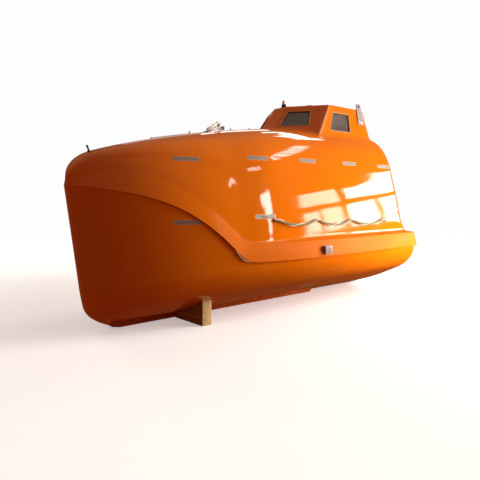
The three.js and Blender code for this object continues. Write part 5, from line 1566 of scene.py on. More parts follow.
def build_step():
    """The boarding step with rounded edges, gritty treads and the bolts through its arms."""
    dressed("boarding_step", "galvanised", 2)
    body = body_of("boarding_step")
    wall_x = BOW_X - line_at(AFT_WALL, STEP["z"])
    top = Matrix(((-1, 0, 0, 0), (0, -1, 0, 0), (0, 0, 1, STEP["z"] + STEP["thickness"]), (0, 0, 0, 1)))
    treads = []
    for near, far in ((-STERN_X - 46, -STERN_X - 8), (-wall_x + 8, -wall_x + 44)):
        for y in (-227, 0, 227):
            tread = box_outline(near, far, y - 105, y + 105, 5)
            treads.append(slab_mesh("tread", tread, -0.5, 1.6, top, 0.6))
    show("boarding_step_treads", treads, body, "black")
    bolts = []
    for side in (-1, 1):
        y = side * (STEP["half"] - STEP["arm_side"] + 7)
        bolts += [(Vector((wall_x - 14, y, STEP["z"] - drop)), (0, side, 0)) for drop in (20, 70)]
    add_fasteners("boarding_step_bolts", bolts, body, "steel", 7, 5)


def build_shaft_gear():
    """The stern tube with its bolted flange, and the three-bladed screw on its shaft."""
    body = body_of("stern_tube")
    matrix = aft_frame(TRANSOM_X - SEAM, 0, SHAFT_Z)
    reach = TRANSOM_X - SEAM - PROPELLER["x"] - 48
    profile = [(0, 0), (62, 0), (62, 16), (59, 20), (42, 20), (36, 26), (34, 34), (30, reach - 4),
               (28, reach), (16.6, reach), (16.6, 12), (0, 12)]
    show("stern_tube_casting", [lathe_mesh("tube", profile, 40, matrix)], body, "red_paint", ("stern_tube",))
    places = frame_places(matrix, circle_spots(51, 6, 0.5), 20.5)
    add_fasteners("stern_tube_bolts", places, body, "galvanised", 6, 5)

    body = body_of("propeller")
    shaft = aft_frame(PROPELLER["x"], 0, SHAFT_Z)
    hub = [(0, -32), (26, -32), (28, -30), (28, 10), (26.5, 16), (24, 22), (20.5, 28), (16, 34), (9, 41),
           (0, 44)]
    meshes = [lathe_mesh("hub", hub, 40, shaft)]
    chords, pitches, depths = ([(row[0], row[i]) for row in BLADE_SECTIONS] for i in (1, 2, 3))
    root, steps, sides = BLADE_SECTIONS[0][0], 22, 20
    for blade in range(PROPELLER["blades"]):
        turn = blade / PROPELLER["blades"] * TAU
        rings = []
        for step in range(steps + 1):
            share = 1 - (1 - root) * (1 - step / steps) ** 1.7
            chord, pitch, depth = (curve_at(table, share) for table in (chords, pitches, depths))
            lean, radius = math.radians(pitch), PROPELLER["radius"] * share
            ring = []
            for side in range(sides):
                angle = side / sides * TAU
                along, through = -0.5 * math.cos(angle) * chord, 0.5 * math.sin(angle) * depth
                sideways = along * math.cos(lean) - through * math.sin(lean)
                axial = along * math.sin(lean) + through * math.cos(lean)
                sweep = min(1.1, max(-1.1, sideways / radius)) + turn
                x = PROPELLER["x"] + axial * 0.42
                ring.append((x, radius * math.sin(sweep), SHAFT_Z + radius * math.cos(sweep)))
            rings.append(ring)
        meshes.append(loft_mesh("blade", rings))
    show("propeller_casting", meshes, body, "bronze", ("propeller",), 50)
    rod = rod_mesh((PROPELLER["x"] + 20, 0, SHAFT_Z), (TRANSOM_X - 20, 0, SHAFT_Z), 16, 32)
    show("propeller_shaft_rod", [rod], body, "steel")


def build_nozzle():
    """The steering nozzle with its fins, stock, tiller and nut, and the brackets that carry it."""
    body = body_of("steering_nozzle")
    x, inner, half = NOZZLE["x"], NOZZLE["inner"], NOZZLE["length"] / 2
    profile = [(inner + out, along * half) for out, along in NOZZLE_SECTION]
    meshes = [lathe_mesh("ring", [(r, -h) for r, h in profile], 72, aft_frame(x, 0, SHAFT_Z))]
    flat = Matrix(((1, 0, 0, 0), (0, 0, 1, 0), (0, 1, 0, 0), (0, 0, 0, 1)))
    reach = inner + 5
    fin = box_outline(x - 150, x - 55, SHAFT_Z - reach, SHAFT_Z + reach, 12, 5)
    meshes.append(softened(slab_mesh("fin", fin, -6, 6, flat), 3))
    meshes.append(rod_mesh((x, 0, SHAFT_Z + inner + 8), (x, 0, BRACKET_TOP_Z + 44), 16))
    meshes.append(rod_mesh((x, 0, HEEL_TOP_Z - 18), (x, 0, SHAFT_Z - inner - 8), 12))
    up = Matrix.Translation((x, 0, BRACKET_TOP_Z))
    meshes.append(slab_mesh("tiller", box_outline(-14, 14, -120, 22, 13.5, 6, 2), 22, 40, up, 3))
    meshes.append(lathe_mesh("collar", [(0, 1), (26, 1), (26, 8), (24, 10), (24, 20), (0, 20)], 28, up))
    meshes.append(rod_mesh(up @ Vector((0, -105, 14)), up @ Vector((0, -105, 50)), 7, 16))
    show("steering_nozzle_ring", meshes, body, "red_paint", ("steering_nozzle",), 40)
    nut = lathe_mesh("nut", [(0, 40), (22, 40), (24, 42), (24, 52), (22, 54), (0, 54)], 6, up)
    show("steering_nozzle_nut", [nut], body, "galvanised")

    bolts = {"nozzle_bracket": [(y, z) for y in (-72, 72) for z in (462, 500, 546)],
             "nozzle_heel": [(-28, 88), (28, 88)]}
    for node, spots in bolts.items():
        dressed(node, "red_paint", 2.5)
        pad = aft_frame(TRANSOM_X - SEAM, 0, 0)
        add_fasteners(f"{node}_bolts", frame_places(pad, spots, 12.5), body_of(node), "galvanised", 7, 6)


def build_release_gear():
    """The release hook between the cheeks of its bracket, with washers and bolts."""
    bracket, hook = body_of("release_hook_bracket"), body_of("release_hook")
    dressed("release_hook_bracket", "galvanised", 2.5)
    dressed("release_hook", "galvanised", 5, 40, 3)
    x, z = HOOK_PIVOT_X, HOOK_Z
    ends = [rod_mesh((x, side * 30, z), (x, side * 37, z), 16, 6) for side in (-1, 1)]
    show("release_hook_pin_heads", ends, bracket, "steel")
    spots = [(y, z) for y in (-43, 43) for z in (592, 644)]
    places = frame_places(aft_frame(TRANSOM_X - SEAM, 0, 0), spots, 12.5)
    add_fasteners("release_hook_bolts", places, bracket, "galvanised", 6, 5)
    link = rod_mesh((x - 40, -12.5, z + 6), (x - 40, 12.5, z + 6), 9, 6)
    show("release_hook_stop", [link], hook, "steel")


def build_exhaust():
    """Flanged exhaust pipe, sooted inside."""
    body = body_of("exhaust_outlet")
    matrix = aft_frame(TRANSOM_X - SEAM, EXHAUST["y"], EXHAUST["z"])
    profile = [(0, 0), (52, 0), (52, 6.5), (50.5, 8), (38, 8), (34, 12), (34, 55), (35.5, 57.5), (34, 60),
               (29, 60), (27, 58), (27, 12), (0, 12)]
    show("exhaust_pipe", [lathe_mesh("pipe", profile, 44, matrix)], body, "steel", ("exhaust_outlet",))
    soot = [(0, 12.2), (26.7, 12.2), (26.7, 56), (25.9, 56), (25.9, 13), (0, 13)]
    show("exhaust_soot", [lathe_mesh("soot", soot, 44, matrix)], body, "black")
    places = frame_places(matrix, circle_spots(44, 4, 0.8), 8.5)
    add_fasteners("exhaust_bolts", places, body, "galvanised", 4.5, 4)


def build_lifting_gear():
    """The forward lug with its bush and bolts, and the plates on the tower's sides."""
    dressed("lifting_lug_forward", "galvanised", 2.5)
    x, z = BOW_X - LUG_EYE["aft"], LUG_EYE["z"]
    bush = rod_mesh((x, -12, z), (x, 12, z), LUG_EYE["radius"] + 0.5, 32)
    show("lifting_lug_bush", [bush], ROOT_BODY, "dark_steel")
    slope = (LUG_FOOT[1][1] - LUG_FOOT[0][1]) / (LUG_FOOT[1][0] - LUG_FOOT[0][0])
    bolts = []
    for aft in (1700, 1760, 1820, 1880):
        top = line_at(LUG_FOOT, aft)
        bolts += [(Vector((BOW_X - aft, y, top)), (slope, 0, 1)) for y in (-29, 29)]
    add_fasteners("lifting_lug_bolts", bolts, ROOT_BODY, "dark_steel", 7, 6)
    spots = [(405, -61), (402, -105), (398, -150), (438, -154)]
    for node, mirror in (("lifting_plate_aft_port", False), ("lifting_plate_aft_starboard", True)):
        dressed(node, "pale_steel", 2.5)
        places = frame_places(tower_frame(2), spots, AFT_PLATE_TOP + 0.5)
        ring = lathe_mesh("bush", [(0, 2), (20, 2), (20, 13.5), (18, 15), (0, 15)], 32,
                          tower_frame(2) @ Matrix.Translation((*AFT_PLATE_EYE, 0)))
        if mirror:
            places, ring = mirror_places(places), mirrored(ring)
        add_fasteners(f"{node}_bolts", places, ROOT_BODY, "dark_steel", 7, 5)
        show(f"{node}_bush", [ring], ROOT_BODY, "dark_steel")


def build_lashing_brackets():
    """Boxes on the belt, open forward through a rounded hole, closed by a thin top."""
    aft, fore, side_y = BOW_X - LASHING["to"], BOW_X - LASHING["from"], LASHING["outboard"]
    lengthwise = Matrix(((0, 0, 1, 0), (1, 0, 0, 0), (0, 1, 0, 0), (0, 0, 0, 1)))
    for side, sign in (("port", 1), ("starboard", -1)):
        node = f"lashing_bracket_{side}"
        piece = dressed(node, "pale_steel", 0)
        hole = [(sign * y, z) for y, z in box_outline(1040, side_y - 12, 711, 781, 24, 6)]
        combine(piece, [slab_mesh("hole", hole, fore - 20, fore + 20, lengthwise)], "DIFFERENCE")
        softened(piece.data, 1.2, 50)
        settle(piece, ROOT_BODY, "pale_steel", (node,))
        lid = [(aft + 6, sign * 1060), (fore - 6, sign * 1060), (fore - 6, sign * (side_y - 5)),
               (aft + 6, sign * (side_y - 5))]
        top = slab_mesh("top", lid, LASHING["high"] - 7, LASHING["high"] - 1, Matrix.Identity(4))
        show(f"{node}_top", [top], ROOT_BODY, "pale_steel")
        screws = [(Vector(((aft + fore) / 2, sign * side_y, z)), (0, sign, 0)) for z in (729, 763)]
        add_fasteners(f"{node}_screws", screws, ROOT_BODY, "dark_steel", 5, 3)


def build_deck_fittings():
    """The bow post, position light, spray pipe, studs on the sides and a worn strand under the belt."""
    x, z = BOW_X - BOW_POST["aft"], ridge_z(BOW_POST["aft"])

    def along(height):
        return Vector((x + BOW_POST["lean"] * height / BOW_POST["top"], 0, z + height))

    foot = [(0, -40), (20, -40), (20, 4), (18, 7), (12, 8), (0, 8)]
    meshes = [lathe_mesh("foot", foot, 32, Matrix.Translation((x, 0, z))),
              rod_mesh(along(0), along(52), 9), rod_mesh(along(46), along(60), 11.5, 28, 3)]
    show("bow_post", meshes, ROOT_BODY, "dark_steel", ("bow_fitting",))

    place = Matrix.Translation((BOW_X - LIGHT_AFT, 0, ROOF_Z))
    base = [(0, 0.4), (42, 0.4), (42, 8), (39.5, 10.5), (34, 12), (32, 30), (29, 46), (27, 48), (0, 48)]
    lens = [(0, 47), (26, 47), (27.5, 50), (27, 62), (24, 78), (19, 92), (13, 101.5), (7, 106.4), (0, 108)]
    base, lens = (lathe_mesh("light", profile, 40, place) for profile in (base, lens))
    show("position_light_base", [base], ROOT_BODY, "black")
    show("position_light_lens", [lens], ROOT_BODY, "lamp", ("position_light",), 60)

    skin = skin_of(*CANOPY)

    def on_skin(aft, lift):
        return Vector((BOW_X - aft, SPRAY["side"], skin.top(BOW_X - aft, SPRAY["side"]) + lift))

    route = [on_skin(mix(SPRAY["from"], SPRAY["to"], step / 30), SPRAY["lift"]) for step in range(31)]
    meshes = [tube_mesh("pipe", route, SPRAY["radius"], 16)]
    for aft in SPRAY_NOZZLES:
        here = Matrix.Translation(on_skin(aft, 0))
        clamp_rows = [(0, -20), (13, -20), (13, 4), (11, 8), (11, 16), (9, 18), (0, 18)]
        tip_rows = [(0, 14), (7, 14), (7, 30), (9, 32), (9, 38), (5, 42), (0, 42)]
        meshes += [lathe_mesh("clamp", clamp_rows, 20, here), lathe_mesh("tip", tip_rows, 12, here)]
    cap = [(0, -14), (9, -14), (10.5, -12), (10.5, 12), (9, 14), (0, 14)]
    meshes += [lathe_mesh("cap", cap, 16, face_frame(0, 0, point)) for point in (route[0], route[-1])]
    show("spray_pipe_line", meshes, ROOT_BODY, "steel", ("spray_pipe",))

    studs = []
    for sign in (1, -1):
        for aft, height in SIDE_STUDS:
            hit, normal = skin.side(BOW_X - aft, height, sign)
            studs.append(rod_mesh(hit - normal * 10, hit + normal * 8, 11, 20, 3))
    show("side_studs", studs, ROOT_BODY, "dark_steel")
    strand = []
    for step in range(16):
        aft = mix(*STRAND_RUN, step / 15)
        sag = STRAND_SAG * math.sin(step / 15 * math.pi)
        strand.append((BOW_X - aft, plan_half(JOINT_PLAN, aft) - 6, joint_z(aft) - 3 - sag))
    show("worn_strand", [tube_mesh("strand", smooth_route(strand, 2), 4.5, 8)], ROOT_BODY, "frayed")


def plumped(piece, voxel, cap):
    """Blows a pad up as cloth over its stuffing, with no point moving further than the cap."""
    even = piece.modifiers.new("even", "REMESH")
    even.mode, even.voxel_size = "VOXEL", voxel * MM
    apply_modifiers(piece)
    start = [vertex.co.copy() for vertex in piece.data.vertices]
    cloth = piece.modifiers.new("stuffing", "CLOTH")
    cloth.settings.use_pressure = True
    cloth.settings.uniform_pressure_force = 4
    cloth.settings.effector_weights.gravity = 0
    for number in range(1, 21):
        bpy.context.scene.frame_set(number)
    apply_modifiers(piece)
    bpy.context.scene.frame_set(1)
    for vertex, before in zip(piece.data.vertices, start):
        move = vertex.co - before
        if move.length > cap * MM:
            vertex.co = before + move.normalized() * cap * MM
    fine = piece.modifiers.new("fine", "SUBSURF")
    fine.levels = fine.render_levels = 1
    return apply_modifiers(piece)


def pad_mesh(half_wide, half_deep, thickness, matrix):
    """A crowned pad on a frame, its sides drawn in between its corners."""
    outline = box_outline(-half_wide, half_wide, -half_deep, half_deep, 46, 6, 8)
    waisted = []
    for u, v in outline:
        pull = 7 * (1 - min(1, abs(u / half_wide) ** 4)) + 7 * (1 - min(1, abs(v / half_deep) ** 4))
        size = math.hypot(u, v)
        waisted.append((u * (1 - pull / size), v * (1 - pull / size)))
    rings = []
    for inset, share in ((60, 0), (14, 0), (4, 0.1), (0, 0.3), (0, 0.7), (5, 0.9), (18, 0.99), (60, 1.04),
                         (130, 1.06)):
        scale = 1 - inset / half_wide
        rings.append([matrix @ Vector((u * scale, v * scale, thickness * share)) for u, v in waisted])
    return loft_mesh("pad", rings)


def build_helm():
    """Seat, console and wheel behind the tower's windows."""
    x = BOW_X - SEAT["aft"]
    level = Matrix.Translation((x, 0, SEAT["top"] - 64))
    upright = face_frame(0, 0, (x - 246, 0, SEAT["top"] + 245))
    for name, wide, deep, thick, matrix, replaced in (
            ("helm_seat_cushion", 198, 198, 54, level, ("helm_seat",)),
            ("helm_seat_back", 188, 262, 54, upright, ())):
        piece = add_object(name, pad_mesh(wide, deep, thick, matrix))
        plumped(piece, 6, 12)
        settle(piece, body_of("helm_seat"), "vinyl", replaced, 80)
    foot = Matrix.Translation((x, 0, ENGINE_TOP_Z))
    post = [(0, 0.5), (150, 0.5), (150, 10), (146, 14), (60, 16), (47, 24), (45, 40), (45, 706), (120, 712),
            (120, 718), (0, 718)]
    meshes = [lathe_mesh("post", post, 40, foot)]
    pan = box_outline(x - 205, x + 205, -205, 205, 40, 6)
    meshes.append(slab_mesh("pan", pan, SEAT["top"] - 76, SEAT["top"] - 65, Matrix.Identity(4), 3))
    meshes.append(slab_mesh("shell", box_outline(-196, 196, -260, 270, 50, 6), -8, 0, upright, 3))
    show("helm_seat_frame", meshes, body_of("helm_seat"), "black")

    dressed("helm_console", "grey_paint", 6)
    face = WHEEL_FRAME @ Matrix.Translation((0, 0, -60))
    dials, rims = [], []
    for u, v in ((-130, 95), (-62, 95), (130, 95), (62, 95)):
        here = face @ Matrix.Translation((u, v, 0))
        rims.append(lathe_mesh("rim", [(26, -2), (31, -2), (31, 7), (29, 9), (26, 9), (26, -2)], 32, here))
        dials.append(lathe_mesh("dial", [(0, -1), (26.5, -1), (26.5, 5), (0, 5)], 32, here))
    lever = face @ Matrix.Translation((150, 10, 0))
    rims.append(lathe_mesh("boss", [(0, -2), (24, -2), (24, 14), (20, 18), (0, 18)], 28, lever))
    rims.append(rod_mesh(lever @ Vector((0, 0, 12)), lever @ Vector((0, 60, 34)), 6, 14))
    dials.append(lathe_mesh("knob", [(0, -14), (9, -12), (14, -5), (15, 2), (12, 10), (6, 14), (0, 15)], 20,
                            lever @ Matrix.Translation((0, 62, 36))))
    show("helm_console_dials", dials, body_of("helm_console"), "black")
    show("helm_console_rims", rims, body_of("helm_console"), "steel")

    body = body_of("helm_wheel")
    turns = [step / 12 * TAU for step in range(13)]
    round_rim = [(WHEEL["radius"] + 12 * math.cos(turn), 12 * math.sin(turn)) for turn in turns]
    grip = [lathe_mesh("rim", round_rim, 72, WHEEL_FRAME)]
    show("helm_wheel_rim", grip, body, "black", ("helm_wheel",), 60)
    hub = [(0, -59), (15, -59), (16, -58), (16, -15), (30, -13), (32, -11), (32, 8), (28, 12), (0, 14)]
    meshes = [lathe_mesh("hub", hub, 32, WHEEL_FRAME)]
    for angle in WHEEL_SPOKES:
        c, s = math.cos(math.radians(angle)), math.sin(math.radians(angle))
        ends = (WHEEL_FRAME @ Vector((reach * c, reach * s, 0)) for reach in (20, 166))
        meshes.append(rod_mesh(*ends, 8, 16))
    show("helm_wheel_spokes", meshes, body, "steel")


def build_stage():
    """The camera of the photo, the floor, the backdrop and the softboxes."""
    scene = bpy.context.scene
    settings = scene.lifeboat_stage
    data = bpy.data.cameras.new("camera")
    data.sensor_width = SENSOR_MM
    data.lens = FOCAL_PIXELS * SENSOR_MM / PHOTO_PIXELS
    data.shift_y = -(PHOTO_PIXELS / 2 - HORIZON_ROW) / PHOTO_PIXELS
    data.clip_end = 200
    camera = add_object("camera", data)
    camera.location = CAMERA_PLACE
    camera.rotation_euler = Vector(CAMERA_LOOK).to_track_quat("-Z", "Y").to_euler()
    scene.camera = camera
    scene.view_settings.view_transform = "Standard"
    scene.view_settings.exposure = settings.exposure

    lay_floor(settings)
    hang_backdrop(settings)
    for name, place, target, width, height, power, colour, shows in studio_panels():
        light = bpy.data.lights.new(name, "AREA")
        light.shape, light.size, light.size_y = "RECTANGLE", width, height
        light.energy = power * width * height * settings.key_strength
        light.color = colour
        lamp = add_object(name, light)
        lamp.location = place
        lamp.rotation_euler = (Vector(target) - Vector(place)).to_track_quat("-Z", "Y").to_euler()
        lamp.visible_camera = False
        lamp.visible_glossy = shows


def lay_floor(settings):
    """A pale floor that takes soft shadows near the boat and runs on into the backdrop."""
    reach = 60
    corners = [(-reach, -reach), (reach, -reach), (reach, reach), (-reach, reach)]
    floor = add_object("floor", mesh_from("floor", [(x / MM, y / MM, 0) for x, y in corners], [(0, 1, 2, 3)]))
    pale = Finish("pale_floor", Roughness=0.9, Specular_IOR_Level=0.1)
    place = pale.node("ShaderNodeTexCoord").outputs["Object"]
    away = pale.node("ShaderNodeVectorMath", {0: place}, operation="LENGTH").outputs["Value"]
    far = pale.span(away, 2.5, 9.0)
    pale.put("Base Color", pale.blend(far, settings.floor, shade(settings.floor, 0.05)))
    pale.put("Emission Color", (*settings.backdrop, 1))
    pale.put("Emission Strength", pale.calc("ADD", 0.42, pale.calc("MULTIPLY", far, 0.58)))
    floor.data.materials.append(pale.material)
    floor.visible_glossy = False
    floor.visible_diffuse = False


def hang_backdrop(settings):
    """A pale backdrop for the camera; the boat is lit dimly from the sides and more from above."""
    world = bpy.data.worlds.new("studio")
    bpy.context.scene.world = world
    world.use_nodes = True
    tree = world.node_tree
    place = add_node(tree, "ShaderNodeTexCoord").outputs["Generated"]
    height = add_node(tree, "ShaderNodeSeparateXYZ", {0: place}).outputs["Z"]
    ramp = add_node(tree, "ShaderNodeValToRGB", {0: height})
    for element, at, colour in zip(ramp.color_ramp.elements, (0.15, 1.0), (settings.fill, settings.sky)):
        element.position, element.color = at, (*colour, 1)
    fill = tree.nodes["Background"]
    feed(tree, fill, "Color", ramp.outputs[0])
    feed(tree, fill, "Strength", settings.fill_strength)
    backdrop = add_node(tree, "ShaderNodeBackground", {"Color": (*settings.backdrop, 1)})
    seen = add_node(tree, "ShaderNodeLightPath").outputs["Is Camera Ray"]
    either = add_node(tree, "ShaderNodeMixShader", {0: seen, 1: fill.outputs[0], 2: backdrop.outputs[0]})
    feed(tree, tree.nodes["World Output"], "Surface", either.outputs[0])


# The big window that the gloss shows: its middle, and where it faces, in metres
WINDOW_MIDDLE = Vector((-7.89, 6.01, 3.3))
WINDOW_FACES = Vector((-0.9, 1.0, 3.3))
WHITE = (1.0, 0.97, 0.9)
WARM = (1.0, 0.9, 0.72)
PINK = (1.0, 0.84, 0.8)
# Columns: left, right, low and high edge about the middle in metres, watts per square metre, colour
WINDOW_PANES = [
    (-1.61, -0.35, -0.46, 0.29, 34, WARM), (-0.13, 2.1, -0.4, 0.2, 52, WHITE),
    (-1.57, -1.06, -1.68, -0.76, 38, WARM), (-0.97, -0.39, -1.7, -0.7, 38, WARM),
    (-0.19, 0.66, -1.7, -0.66, 50, WHITE), (0.78, 2.1, -1.72, -0.62, 52, WHITE),
    (-5.5, -3.9, 0.45, 1.45, 55, WHITE), (-5.1, -3.9, -0.3, 0.45, 55, WHITE),
    (-4.85, -4.3, -1.2, -0.3, 50, WHITE),
]
# Slats of light between rafters, in the same columns
FIRST_SLATS = {"count": 4, "first": (-6.4, 3.05), "last": (-4.95, 2.85), "width": 0.3, "height": 0.85}
SECOND_SLATS = {"count": 6, "first": (-1.65, 4.2), "last": (2.2, 7.4), "width": 0.5, "height": 1.35}
SLAT_POWER = 44
# Columns: name, place, target, width, height, watts per square metre, colour, whether gloss shows it
SOFTBOXES = [
    ("key", (-9.2, 6.8, 5.6), (-0.8, 0.3, 1.3), 5.0, 4.0, 59, WHITE, False),
    ("tower_glare_low", (-5.9, -4.3, 6.75), (0.0, 0.6, 2.1), 1.3, 0.3, 30, WHITE, True),
    ("tower_glare_middle", (-6.35, -3.1, 7.35), (0.0, 0.6, 2.1), 1.5, 0.8, 36, WHITE, True),
    ("tower_glare_high", (-6.35, -1.3, 8.2), (0.0, 0.6, 2.1), 2.4, 1.2, 36, WHITE, True),
    ("crest_glare", (-5.3, -6.4, 5.46), (0.6, 0.4, 2.1), 2.4, 0.6, 8, PINK, True),
    ("ridge_glare", (-6.0, -8.5, 4.6), (0.0, 0.0, 2.0), 7.0, 2.6, 1.2, PINK, True),
    ("starboard_fill", (2.5, -9.0, 5.0), (0.0, 0.0, 1.2), 4.0, 4.0, 14, WHITE, False),
    ("yard_bounce", (-2.5, 2.5, 0.25), (-1.8, 1.0, 0.5), 1.6, 0.7, 60, WARM, False),
    ("floor_bounce", (-1.9, 2.2, 0.03), (-1.7, 0.9, 0.5), 1.6, 0.8, 12, WARM, False),
]


def slat_panes(slats):
    panes = []
    for index in range(slats["count"]):
        share = index / (slats["count"] - 1)
        u, v = (mix(a, b, share) for a, b in zip(slats["first"], slats["last"]))
        w, h = slats["width"] / 2, slats["height"] / 2
        panes.append((u - w, u + w, v - h, v + h, SLAT_POWER, PINK))
    return panes


def studio_panels():
    """Every softbox: the panes of the big window, the slats of light and the plain ones."""
    facing = (WINDOW_FACES - WINDOW_MIDDLE).normalized()
    across = facing.cross(Vector((0, 0, 1)))
    panels = []
    for index, (left, right, low, high, power, colour) in enumerate(
            [*WINDOW_PANES, *slat_panes(FIRST_SLATS), *slat_panes(SECOND_SLATS)]):
        place = WINDOW_MIDDLE + across * ((left + right) / 2) + Vector((0, 0, (low + high) / 2))
        panels.append((f"pane_{index}", place, place + facing, right - left, high - low, power, colour, True))
    return panels + SOFTBOXES


def length_property(name, description, default):
    return bpy.props.FloatProperty(name=name, description=description, default=default, unit="LENGTH")


def colour_property(name, description, default):
    return bpy.props.FloatVectorProperty(name=name, description=description, default=default, subtype="COLOR")


class LifeboatSizes(bpy.types.PropertyGroup):
    """Sizes of the lifeboat's shells and small gear."""
    wall: length_property("Shell thickness", "Thickness of hull and canopy", 0.045)
    tower_corner: length_property("Tower corner", "Radius of the tower's upright corners", 0.016)
    tower_sweep: length_property("Tower foot", "How far the tower's foot sweeps out", 0.05)
    strand_radius: length_property("Strand radius", "Radius of one strand of the grab line", 0.0075)
    lay_length: length_property("Lay length", "Length of one turn of the strands", 0.06)


class LifeboatColours(bpy.types.PropertyGroup):
    """Colours of the lifeboat's finishes."""
    orange: colour_property("Gel coat", "Colour of hull and canopy", (0.9, 0.2, 0.003))
    steel: colour_property("Steel", "Colour of the stainless fittings", (0.55, 0.54, 0.52))
    rope: colour_property("Rope", "Colour of the grab lines", (0.5, 0.53, 0.3))
    tape: colour_property("Tape", "Colour of the reflective strips", (0.44, 0.4, 0.35))


class LifeboatStage(bpy.types.PropertyGroup):
    """Light, floor and backdrop."""
    key_strength: bpy.props.FloatProperty(name="Key", description="Strength of the softboxes", default=1.0)
    fill: colour_property("Fill colour", "Colour of the fill light from the sides", (0.6, 0.15, 0.05))
    sky: colour_property("Sky colour", "Colour of the fill light from above", (1.0, 0.8, 0.62))
    fill_strength: bpy.props.FloatProperty(name="Fill", description="Strength of the fill light", default=0.3)
    backdrop: colour_property("Backdrop", "Colour behind the boat", (0.98, 0.98, 0.98))
    floor: colour_property("Floor", "Colour of the floor", (0.9, 0.9, 0.89))
    exposure: bpy.props.FloatProperty(name="Exposure", description="Exposure of the view", default=0.0)


class LIFEBOAT_OT_stage(bpy.types.Operator):
    """Add the camera, the softboxes, the pale floor and the backdrop"""
    bl_idname = "lifeboat.stage"
    bl_label = "Stage"

    def execute(self, context):
        build_stage()
        return {"FINISHED"}


class LIFEBOAT_OT_finishes(bpy.types.Operator):
    """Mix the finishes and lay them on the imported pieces"""
    bl_idname = "lifeboat.finishes"
    bl_label = "Finishes"

    def execute(self, context):
        mix_finishes(context.scene.lifeboat_colours)
        return {"FINISHED"}


class LIFEBOAT_OT_grab_lines(bpy.types.Operator):
    """Lay the grab lines with their fixings, ferrules and hooks"""
    bl_idname = "lifeboat.grab_lines"
    bl_label = "Grab lines"

    def execute(self, context):
        build_grab_lines()
        return {"FINISHED"}


class LIFEBOAT_OT_hull(bpy.types.Operator):
    """Build the hull's shell and dress its keel skid"""
    bl_idname = "lifeboat.hull"
    bl_label = "Hull"

    def execute(self, context):
        build_hull()
        return {"FINISHED"}


class LIFEBOAT_OT_canopy(bpy.types.Operator):
    """Build the canopy's shell with its belt and openings"""
    bl_idname = "lifeboat.canopy"
    bl_label = "Canopy"

    def execute(self, context):
        build_canopy()
        return {"FINISHED"}


class LIFEBOAT_OT_tower(bpy.types.Operator):
    """Build the conning tower with its swept foot and coaming"""
    bl_idname = "lifeboat.tower"
    bl_label = "Conning tower"

    def execute(self, context):
        build_tower()
        return {"FINISHED"}


class LIFEBOAT_OT_windows(bpy.types.Operator):
    """Set the seals and screws round the panes"""
    bl_idname = "lifeboat.windows"
    bl_label = "Windows"

    def execute(self, context):
        build_windows()
        return {"FINISHED"}


class LIFEBOAT_OT_strips(bpy.types.Operator):
    """Lay the reflective strips on canopy and hull"""
    bl_idname = "lifeboat.strips"
    bl_label = "Reflective strips"

    def execute(self, context):
        build_strips()
        return {"FINISHED"}


class LIFEBOAT_OT_roof_hatch(bpy.types.Operator):
    """Build the hatch lid with its straps, gasket and handle"""
    bl_idname = "lifeboat.roof_hatch"
    bl_label = "Roof hatch"

    def execute(self, context):
        build_roof_hatch()
        return {"FINISHED"}


class LIFEBOAT_OT_stern_door(bpy.types.Operator):
    """Build the stern door with its jamb, straps and lever"""
    bl_idname = "lifeboat.stern_door"
    bl_label = "Stern door"

    def execute(self, context):
        build_stern_door()
        build_door_handle()
        return {"FINISHED"}


class LIFEBOAT_OT_hinges(bpy.types.Operator):
    """Build the fixed leaves of both hinges"""
    bl_idname = "lifeboat.hinges"
    bl_label = "Hinges"

    def execute(self, context):
        build_hinges()
        return {"FINISHED"}


class LIFEBOAT_OT_stern_fittings(bpy.types.Operator):
    """Build the grab rail, the boarding step and the exhaust"""
    bl_idname = "lifeboat.stern_fittings"
    bl_label = "Stern fittings"

    def execute(self, context):
        build_grab_rail()
        build_step()
        build_exhaust()
        return {"FINISHED"}


class LIFEBOAT_OT_shaft_gear(bpy.types.Operator):
    """Build the stern tube, the shaft and the screw"""
    bl_idname = "lifeboat.shaft_gear"
    bl_label = "Stern tube and screw"

    def execute(self, context):
        build_shaft_gear()
        return {"FINISHED"}


class LIFEBOAT_OT_nozzle(bpy.types.Operator):
    """Build the steering nozzle and dress its brackets"""
    bl_idname = "lifeboat.nozzle"
    bl_label = "Steering nozzle"

    def execute(self, context):
        build_nozzle()
        return {"FINISHED"}


class LIFEBOAT_OT_release_gear(bpy.types.Operator):
    """Dress the release hook and its bracket"""
    bl_idname = "lifeboat.release_gear"
    bl_label = "Release gear"

    def execute(self, context):
        build_release_gear()
        return {"FINISHED"}


class LIFEBOAT_OT_lifting_gear(bpy.types.Operator):
    """Dress the lifting lug and plates and build the lashing brackets"""
    bl_idname = "lifeboat.lifting_gear"
    bl_label = "Lifting and lashing gear"

    def execute(self, context):
        build_lifting_gear()
        build_lashing_brackets()
        return {"FINISHED"}


class LIFEBOAT_OT_deck_fittings(bpy.types.Operator):
    """Build the bow post, the light, the spray pipe and the small fittings"""
    bl_idname = "lifeboat.deck_fittings"
    bl_label = "Deck fittings"

    def execute(self, context):
        build_deck_fittings()
        return {"FINISHED"}


class LIFEBOAT_OT_helm(bpy.types.Operator):
    """Build the seat's pads, the console and the wheel"""
    bl_idname = "lifeboat.helm"
    bl_label = "Helm"

    def execute(self, context):
        build_helm()
        return {"FINISHED"}


class LIFEBOAT_OT_supports(bpy.types.Operator):
    """Dress the engine block and the timber chocks"""
    bl_idname = "lifeboat.supports"
    bl_label = "Engine and chocks"

    def execute(self, context):
        dressed("engine", "grey_paint", 8)
        dressed("chock_port", "timber", 4)
        dressed("chock_starboard", "timber", 4)
        return {"FINISHED"}


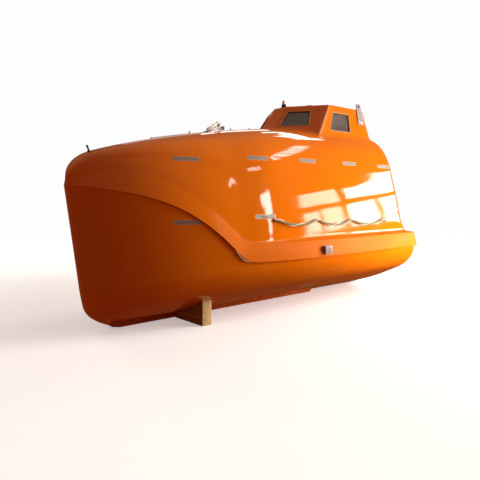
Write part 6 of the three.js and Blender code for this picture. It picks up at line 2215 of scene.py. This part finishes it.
STEPS = [
    LIFEBOAT_OT_stage, LIFEBOAT_OT_finishes, LIFEBOAT_OT_grab_lines, LIFEBOAT_OT_hull,
    LIFEBOAT_OT_canopy, LIFEBOAT_OT_tower, LIFEBOAT_OT_windows, LIFEBOAT_OT_strips,
    LIFEBOAT_OT_roof_hatch, LIFEBOAT_OT_stern_door, LIFEBOAT_OT_hinges, LIFEBOAT_OT_stern_fittings,
    LIFEBOAT_OT_shaft_gear, LIFEBOAT_OT_nozzle, LIFEBOAT_OT_release_gear, LIFEBOAT_OT_lifting_gear,
    LIFEBOAT_OT_deck_fittings, LIFEBOAT_OT_helm, LIFEBOAT_OT_supports,
]


class LIFEBOAT_PT_panel(bpy.types.Panel):
    """Lists the steps and the sizes and colours that they use"""
    bl_label = "Lifeboat"
    bl_idname = "LIFEBOAT_PT_panel"
    bl_space_type = "VIEW_3D"
    bl_region_type = "UI"
    bl_category = "Lifeboat"

    def draw(self, context):
        for step in STEPS:
            self.layout.operator(step.bl_idname)
        scene = context.scene
        for group in (scene.lifeboat_sizes, scene.lifeboat_colours, scene.lifeboat_stage):
            box = self.layout.box()
            for name in group.bl_rna.properties.keys():
                if name not in ("rna_type", "name"):
                    box.prop(group, name)


CLASSES = [LifeboatSizes, LifeboatColours, LifeboatStage, *STEPS, LIFEBOAT_PT_panel]


def register():
    for item in CLASSES:
        bpy.utils.register_class(item)
    bpy.types.Scene.lifeboat_sizes = bpy.props.PointerProperty(type=LifeboatSizes)
    bpy.types.Scene.lifeboat_colours = bpy.props.PointerProperty(type=LifeboatColours)
    bpy.types.Scene.lifeboat_stage = bpy.props.PointerProperty(type=LifeboatStage)


def unregister():
    del bpy.types.Scene.lifeboat_stage
    del bpy.types.Scene.lifeboat_colours
    del bpy.types.Scene.lifeboat_sizes
    for item in reversed(CLASSES):
        bpy.utils.unregister_class(item)


def main():
    register()
    for step in STEPS:
        group, name = step.bl_idname.split(".")
        getattr(getattr(bpy.ops, group), name)()


if __name__ == "__main__":
    main()
